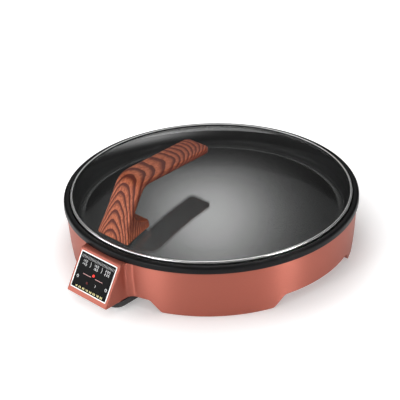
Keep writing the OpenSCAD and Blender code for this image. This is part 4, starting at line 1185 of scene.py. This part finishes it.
def white_lines():
    """Lines of the white print, in millimetres on the face: numbers, brackets and signs."""
    lines = []
    for u, upper, lower in ((-19.3, "120", "140"), (-0.7, "160", "180"), (18.2, "200", "220")):
        lines += number_lines(upper, (u, 40.8), 2.4)
        lines += number_lines(lower, (u, 36.9), 2.4)
    lines += [arc((u - 6, 39.0), 6.0, -32, 32, 9) for u in (-9.2, 9.3)]
    lines.append(arc((-23.3, 21.2), 1.5, 125, 415, 20))
    lines.append([(-23.3, 21.4), (-23.3, 23.1)])
    lines.append(arc((23.7, 20.7), 1.6, 5, 355, 24))
    lines += [[(23.7, 20.7), (23.7, 21.9)], [(24.0, 20.7), (24.7, 20.7)]]
    lines.append(arc((5.4, 19.1), 1.8, -50, 50, 9))
    return lines


def pink_lines():
    """The broken line beside the lit lamp, in millimetres on the face."""
    return [[(-16.6, 26.4), (-3.3, 26.4)], [(3.7, 26.4), (15.6, 26.4)]]


def yellow_lines():
    """The lower row of numbers, in millimetres on the face."""
    lines = []
    for place, u in enumerate(between(-21.2, 20.6, 8)):
        lines += number_lines(str(10 * (place + 1)), (u, 10.2), 1.8)
    return lines


class BAKING_PAN_OT_panel(bpy.types.Operator):
    """Builds the touch panel, its bright frame and its printed marks"""

    bl_idname = "baking_pan.panel"
    bl_label = "Touch panel"

    def execute(self, context):
        s = context.scene.baking_pan.panel
        casing = context.scene.baking_pan.casing
        middle = s.margin + s.height / 2

        def outer(inset):
            """Loop round the outside of the bright frame, drawn in by an inset."""
            return rounded_loop(s.width - 2 * inset, s.height - 2 * inset, s.corner - inset)

        def inner(inset):
            """Loop round the inside of the bright frame, let out by an inset."""
            shrink = 2 * s.line - 2 * inset
            return rounded_loop(s.width - shrink, s.height - shrink, 0.3 * MM + inset)

        def laid(rows):
            """Rows (x, y, level) laid on the sloping face, about the panel's middle."""
            return on_face(casing, rows[..., 0], middle + rows[..., 1], rows[..., 2])

        base = -0.3 * MM
        rows = frame_rows(outer, inner, base, s.frame_proud, 0.25 * MM)
        grid = {"points": laid(rows), "wrap_rows": True, "wrap_columns": True}
        steel = turned_steel_finish("frame_steel", tuple(context.scene.baking_pan.lid.steel), 0.34, 0.45)
        settle(grid_object("panel_frame", [grid], steel), "base", "bright_steel", "panel_bezel")

        loop = inner(0) * 0.999
        levels = ((0, base), (1, base), (1, s.glass_proud), (0, s.glass_proud))
        rows = [np.column_stack([loop * size, np.full(len(loop), level)]) for size, level in levels]
        grid = {"points": laid(np.stack(rows)), "wrap_columns": True}
        plate = grid_object("panel_plate", [grid], panel_finish(tuple(s.black)))
        settle(plate, "base", "panel_black", "panel_overlay")

        prints = (("ticks", tick_lines(), 0.3, s.white), ("white", white_lines(), 0.38, s.white),
                  ("pink", pink_lines(), 0.5, s.pink), ("yellow", yellow_lines(), 0.55, s.yellow))
        for name, lines, width, tint in prints:
            grids = []
            for line in lines:
                rows = stroke(line, width)
                level = s.glass_proud + (rows[..., 2] - 0.5) * 2 * s.print_t
                grids.append({"points": on_face(casing, rows[..., 0] * MM, rows[..., 1] * MM, level),
                              "wrap_rows": True})
            marks = grid_object("panel_print_" + name, grids, glowing_print_finish("ink_" + name, tuple(tint)))
            settle(marks, "base", "panel_black")
        return {"FINISHED"}


# Pieces that keep the frame's own shapes


def fitting_finishes(panel):
    """A finish for each slot whose nodes keep their own shape."""
    lit = tuple(panel.lamp)
    return {
        "black_rubber": moulded_finish("rubber_black", (0.018, 0.018, 0.018), 0.62),
        "black_plastic": moulded_finish("plastic_black", (0.012, 0.012, 0.013), 0.42),
        "lamp_red": lamp_finish("lens_lit", lit, 1.2),
        "lamp_dark_red": lamp_finish("lens_dim", shade(lit, 0.10), 0.05),
        "circuit_board": board_finish((0.012, 0.10, 0.035)),
        "fastener_steel": metal_finish("zinc_plate", (0.62, 0.62, 0.64), 0.32),
        "relay_blue": moulded_finish("relay_case", (0.02, 0.06, 0.30), 0.4),
        "capacitor_grey": moulded_finish("capacitor_sleeve", (0.05, 0.05, 0.06), 0.3),
        "terminal_ivory": moulded_finish("terminal_case", (0.70, 0.66, 0.55), 0.45),
        "ribbon_grey": moulded_finish("ribbon_jacket", (0.35, 0.35, 0.36), 0.5),
        "pin_brass": metal_finish("blade_brass", (0.75, 0.55, 0.22), 0.28),
        "element_steel": metal_finish("element_sheath", (0.20, 0.19, 0.18), 0.5),
        "ceramic_white": moulded_finish("ceramic", (0.78, 0.77, 0.73), 0.5),
        "plain_steel": metal_finish("mill_steel", (0.60, 0.60, 0.61), 0.38),
        "cover_black": moulded_finish("powder_coat", (0.02, 0.02, 0.02), 0.55, 900, 0.05),
        "wire_brown": moulded_finish("wire_brown", (0.12, 0.045, 0.02), 0.45),
        "wire_blue": moulded_finish("wire_blue", (0.02, 0.08, 0.38), 0.45),
        "wire_green_yellow": striped_wire_finish((0.06, 0.28, 0.03)),
        "wire_red": moulded_finish("wire_red", (0.35, 0.03, 0.02), 0.45),
        "clear_silicone": moulded_finish("silicone", (0.62, 0.62, 0.60), 0.5),
    }


class BAKING_PAN_OT_fittings(bpy.types.Operator):
    """Gives every piece that keeps its own shape its finish"""

    bl_idname = "baking_pan.fittings"
    bl_label = "Fittings"

    def execute(self, context):
        finishes = fitting_finishes(context.scene.baking_pan.panel)
        for subpart in frame["record"]["subparts"]:
            finish = finishes.get(subpart["material_slot"])
            if finish is None:
                continue
            node = frame["nodes"][subpart["node"]]
            for place in node.material_slots:
                place.material = finish
        return {"FINISHED"}


# Stage


def arm(s, azimuth, elevation):
    """Direction from the pan to a point that stands at an azimuth from the camera and an elevation."""
    turn = s.azimuth + azimuth
    flat = math.cos(elevation)
    return np.array([math.sin(turn) * flat, -math.cos(turn) * flat, math.sin(elevation)])


def square_axes(forward, up=(0, 0, 1)):
    """Directions to the right and upwards that stand square to forward."""
    right = np.cross(forward, up)
    right /= np.linalg.norm(right)
    return right, np.cross(right, forward)


def aim(place, forward, roll=0.0, up=(0, 0, 1)):
    """Matrix of an object at a place that looks along forward, turned by a roll."""
    forward = forward / np.linalg.norm(forward)
    right, above = square_axes(forward, up)
    x = right * math.cos(roll) + above * math.sin(roll)
    y = above * math.cos(roll) - right * math.sin(roll)
    rows = np.column_stack([x, y, -forward, place])
    return Matrix(np.vstack([rows, (0, 0, 0, 1)]).tolist())


def make_camera(s):
    """The camera on its arm, with its small aim and roll."""
    data = bpy.data.cameras.new("camera")
    data.lens = s.lens
    data.sensor_width = 36
    camera = bpy.data.objects.new("camera", data)
    bpy.context.scene.collection.objects.link(camera)
    back = arm(s, 0, s.elevation)
    right, up = square_axes(-back)
    level = right * math.sin(s.yaw) - back * math.cos(s.yaw)
    forward = level * math.cos(s.pitch) + up * math.sin(s.pitch)
    camera.matrix_world = aim(back * s.distance + (0, AXIS_Y, s.target_z), forward, s.roll, up)
    bpy.context.scene.camera = camera


def make_floor(s):
    """White floor that glows a little for the camera, so that only the soft shadow stays grey.

    The glow grows from near to far, measured from the pan's axis, so the dimmer ring round the pan is
    painted shade on top of the real shadow.
    """
    # Lower glow near the pan paints a soft shade round it, added to the real shadow
    near, far = 0.178, 0.24
    shade_ring_glow, far_glow = 0.62 * s.floor_glow, 1.60 * s.floor_glow
    made = Finish(
        "floor_white", tuple(s.floor), 1.0, Specular_IOR_Level=0.0, Emission_Color=(1, 1, 1, 1)
    )
    path = made.node("LightPath").outputs
    seen = made.math("ADD", path["Is Camera Ray"], path["Is Glossy Ray"])
    seen = made.math("MINIMUM", made.math("ADD", seen, path["Is Transmission Ray"]), 1.0)
    away = made.node("VectorMath", {0: made.place(spot=(0, -AXIS_Y, 0))}, operation="LENGTH")
    level = made.spread(away.outputs["Value"], shade_ring_glow, far_glow, near, far)
    made.link(made.math("MULTIPLY", seen, level), "Emission Strength")
    turn = between(0, 2 * math.pi, s.segments + 1)[-2::-1]
    radius = np.concatenate([[0], np.geomspace(0.2, s.floor_radius, 12)])[:, None]
    x = radius * np.cos(turn)
    points = np.stack([x, radius * np.sin(turn), np.full_like(x, FLOOR_Z)], axis=-1)
    floor = grid_object("floor", [{"points": points, "wrap_columns": True}], made.material)


def make_card(name, grid, level, base, *hidden):
    """A sheet of light, seen only in reflections and left out of the hidden kinds of ray.

    Its light is base + level * exp(-(u^2 + v^2)), with u and v from its uv map.
    """
    made = Finish(name, (0, 0, 0), 1.0, Specular_IOR_Level=0.0, Emission_Color=(1, 1, 1, 1))
    spot = made.node("SeparateXYZ", {"Vector": made.place("UV")}).outputs
    square = made.math("MULTIPLY", spot["Y"], spot["Y"])
    square = made.math("MULTIPLY_ADD", spot["X"], spot["X"], square)
    fall = made.math("EXPONENT", made.math("MULTIPLY", square, -1.0))
    made.link(made.math("MULTIPLY_ADD", fall, level, base), "Emission Strength")
    card = grid_object(name, [grid], made.material)
    for ray in ("camera", "shadow", *hidden):
        setattr(card, "visible_" + ray, False)


def make_glow(s):
    """Soft light behind the pan: a flat sheet, with u and v as shares of its spread both ways."""
    edge = 2.4
    lid_z = 0.09
    away = arm(s, math.pi + s.glow_azimuth, s.glow_elevation)
    right, up = square_axes(away)
    centre = away * s.glow_distance + up * s.glow_rise + (0, AXIS_Y, lid_z)
    u, v = np.meshgrid(between(-edge, edge, 25), between(-edge, edge, 25))
    points = centre + u[..., None] * right * s.glow_width + v[..., None] * up * s.glow_height
    grid = {"points": points, "uv": np.stack([u, v], axis=-1)}
    make_card("glow", grid, s.glow_level, s.room_level)


def make_horizon(s):
    """Low card behind the pan: a strip of an upright cylinder, black on the right.

    u and v are the turn in degrees and the rise from its brightest spot, as shares of their spreads.
    """
    bright_turn, turn_spread = 12, 8
    bright_rise, rise_spread = 0.10, 0.046
    turn, rise = np.meshgrid(between(-34, 46, 60), between(0.001, 0.20, 12))
    around = math.pi + s.azimuth + np.radians(turn)
    x = s.horizon_radius * np.sin(around)
    y = AXIS_Y - s.horizon_radius * np.cos(around)
    uv = np.stack([(turn - bright_turn) / turn_spread, (rise - bright_rise) / rise_spread], axis=-1)
    grid = {"points": np.stack([x, y, rise], axis=-1), "uv": uv}
    make_card("horizon", grid, s.horizon_level, s.room_level / 2, "diffuse", "transmission")


def make_lamp(s, name, power, azimuth, elevation, distance, size, target=(0, 0, 0.05), beam=180,
              mirrored=True):
    """A rectangular lamp at an azimuth beside the camera, aimed at a target beside the pan's axis."""
    data = bpy.data.lights.new(name, "AREA")
    data.shape = "RECTANGLE"
    data.size, data.size_y = size
    data.energy = power
    data.spread = math.radians(beam)
    lamp = bpy.data.objects.new(name, data)
    bpy.context.scene.collection.objects.link(lamp)
    place = arm(s, math.radians(azimuth), math.radians(elevation)) * distance + (0, AXIS_Y, 0.05)
    lamp.matrix_world = aim(place, np.array(target) + (0, AXIS_Y, 0) - place)
    lamp.visible_camera = False
    lamp.visible_glossy = mirrored
    lamp.visible_transmission = mirrored


class BAKING_PAN_OT_stage(bpy.types.Operator):
    """Sets the floor, the lights and the camera"""

    bl_idname = "baking_pan.stage"
    bl_label = "Stage"

    def execute(self, context):
        s = context.scene.baking_pan.stage
        make_camera(s)
        make_floor(s)
        make_glow(s)
        make_horizon(s)
        make_lamp(s, "left_strip", s.left_power, azimuth=-40, elevation=10, distance=1.3, size=(0.25, 0.5))
        make_lamp(s, "right_strip", s.right_power, azimuth=52, elevation=10, distance=1.3, size=(0.24, 0.5),
                  target=(0.172, -0.02, 0.05), beam=15)
        make_lamp(s, "side_fill", s.side_power, azimuth=-80, elevation=20, distance=1.2, size=(0.5, 0.5))
        make_lamp(s, "top_fill", s.top_power, azimuth=0, elevation=86, distance=1.9, size=(1.6, 1.6),
                  mirrored=False)
        make_lamp(s, "front_fill", s.front_power, azimuth=-8, elevation=52, distance=2.0, size=(1.2, 1.0),
                  mirrored=False)
        world = bpy.data.worlds.new("room")
        world.use_nodes = True
        background = world.node_tree.nodes["Background"].inputs
        background["Color"].default_value = (1, 1, 1, 1)
        background["Strength"].default_value = s.room_level
        context.scene.world = world
        context.scene.view_settings.view_transform = "Standard"
        return {"FINISHED"}


# Panel in the sidebar and registration


OPERATORS = (
    BAKING_PAN_OT_casing, BAKING_PAN_OT_pan, BAKING_PAN_OT_lid, BAKING_PAN_OT_handle,
    BAKING_PAN_OT_panel, BAKING_PAN_OT_fittings, BAKING_PAN_OT_stage,
)


class BAKING_PAN_PT_sidebar(bpy.types.Panel):
    """Lists the operators of the baking pan"""

    bl_idname = "BAKING_PAN_PT_sidebar"
    bl_label = "Baking pan"
    bl_space_type = "VIEW_3D"
    bl_region_type = "UI"
    bl_category = "Baking pan"

    def draw(self, context):
        for operator in OPERATORS:
            self.layout.operator(operator.bl_idname)


SETTINGS = (
    CasingSettings, PanSettings, LidSettings, HandleSettings, PanelSettings, StageSettings,
    BakingPanSettings,
)


def register():
    """Registers the settings, the operators and the panel."""
    for item in (*SETTINGS, *OPERATORS, BAKING_PAN_PT_sidebar):
        bpy.utils.register_class(item)
    bpy.types.Scene.baking_pan = PointerProperty(type=BakingPanSettings)


def unregister():
    """Takes them out again."""
    del bpy.types.Scene.baking_pan
    for item in reversed((*SETTINGS, *OPERATORS, BAKING_PAN_PT_sidebar)):
        bpy.utils.unregister_class(item)


def main():
    """Builds everything in order."""
    register()
    bpy.ops.baking_pan.casing()
    bpy.ops.baking_pan.pan()
    bpy.ops.baking_pan.lid()
    bpy.ops.baking_pan.handle()
    bpy.ops.baking_pan.panel()
    bpy.ops.baking_pan.fittings()
    bpy.ops.baking_pan.stage()


if __name__ == "__main__":
    main()
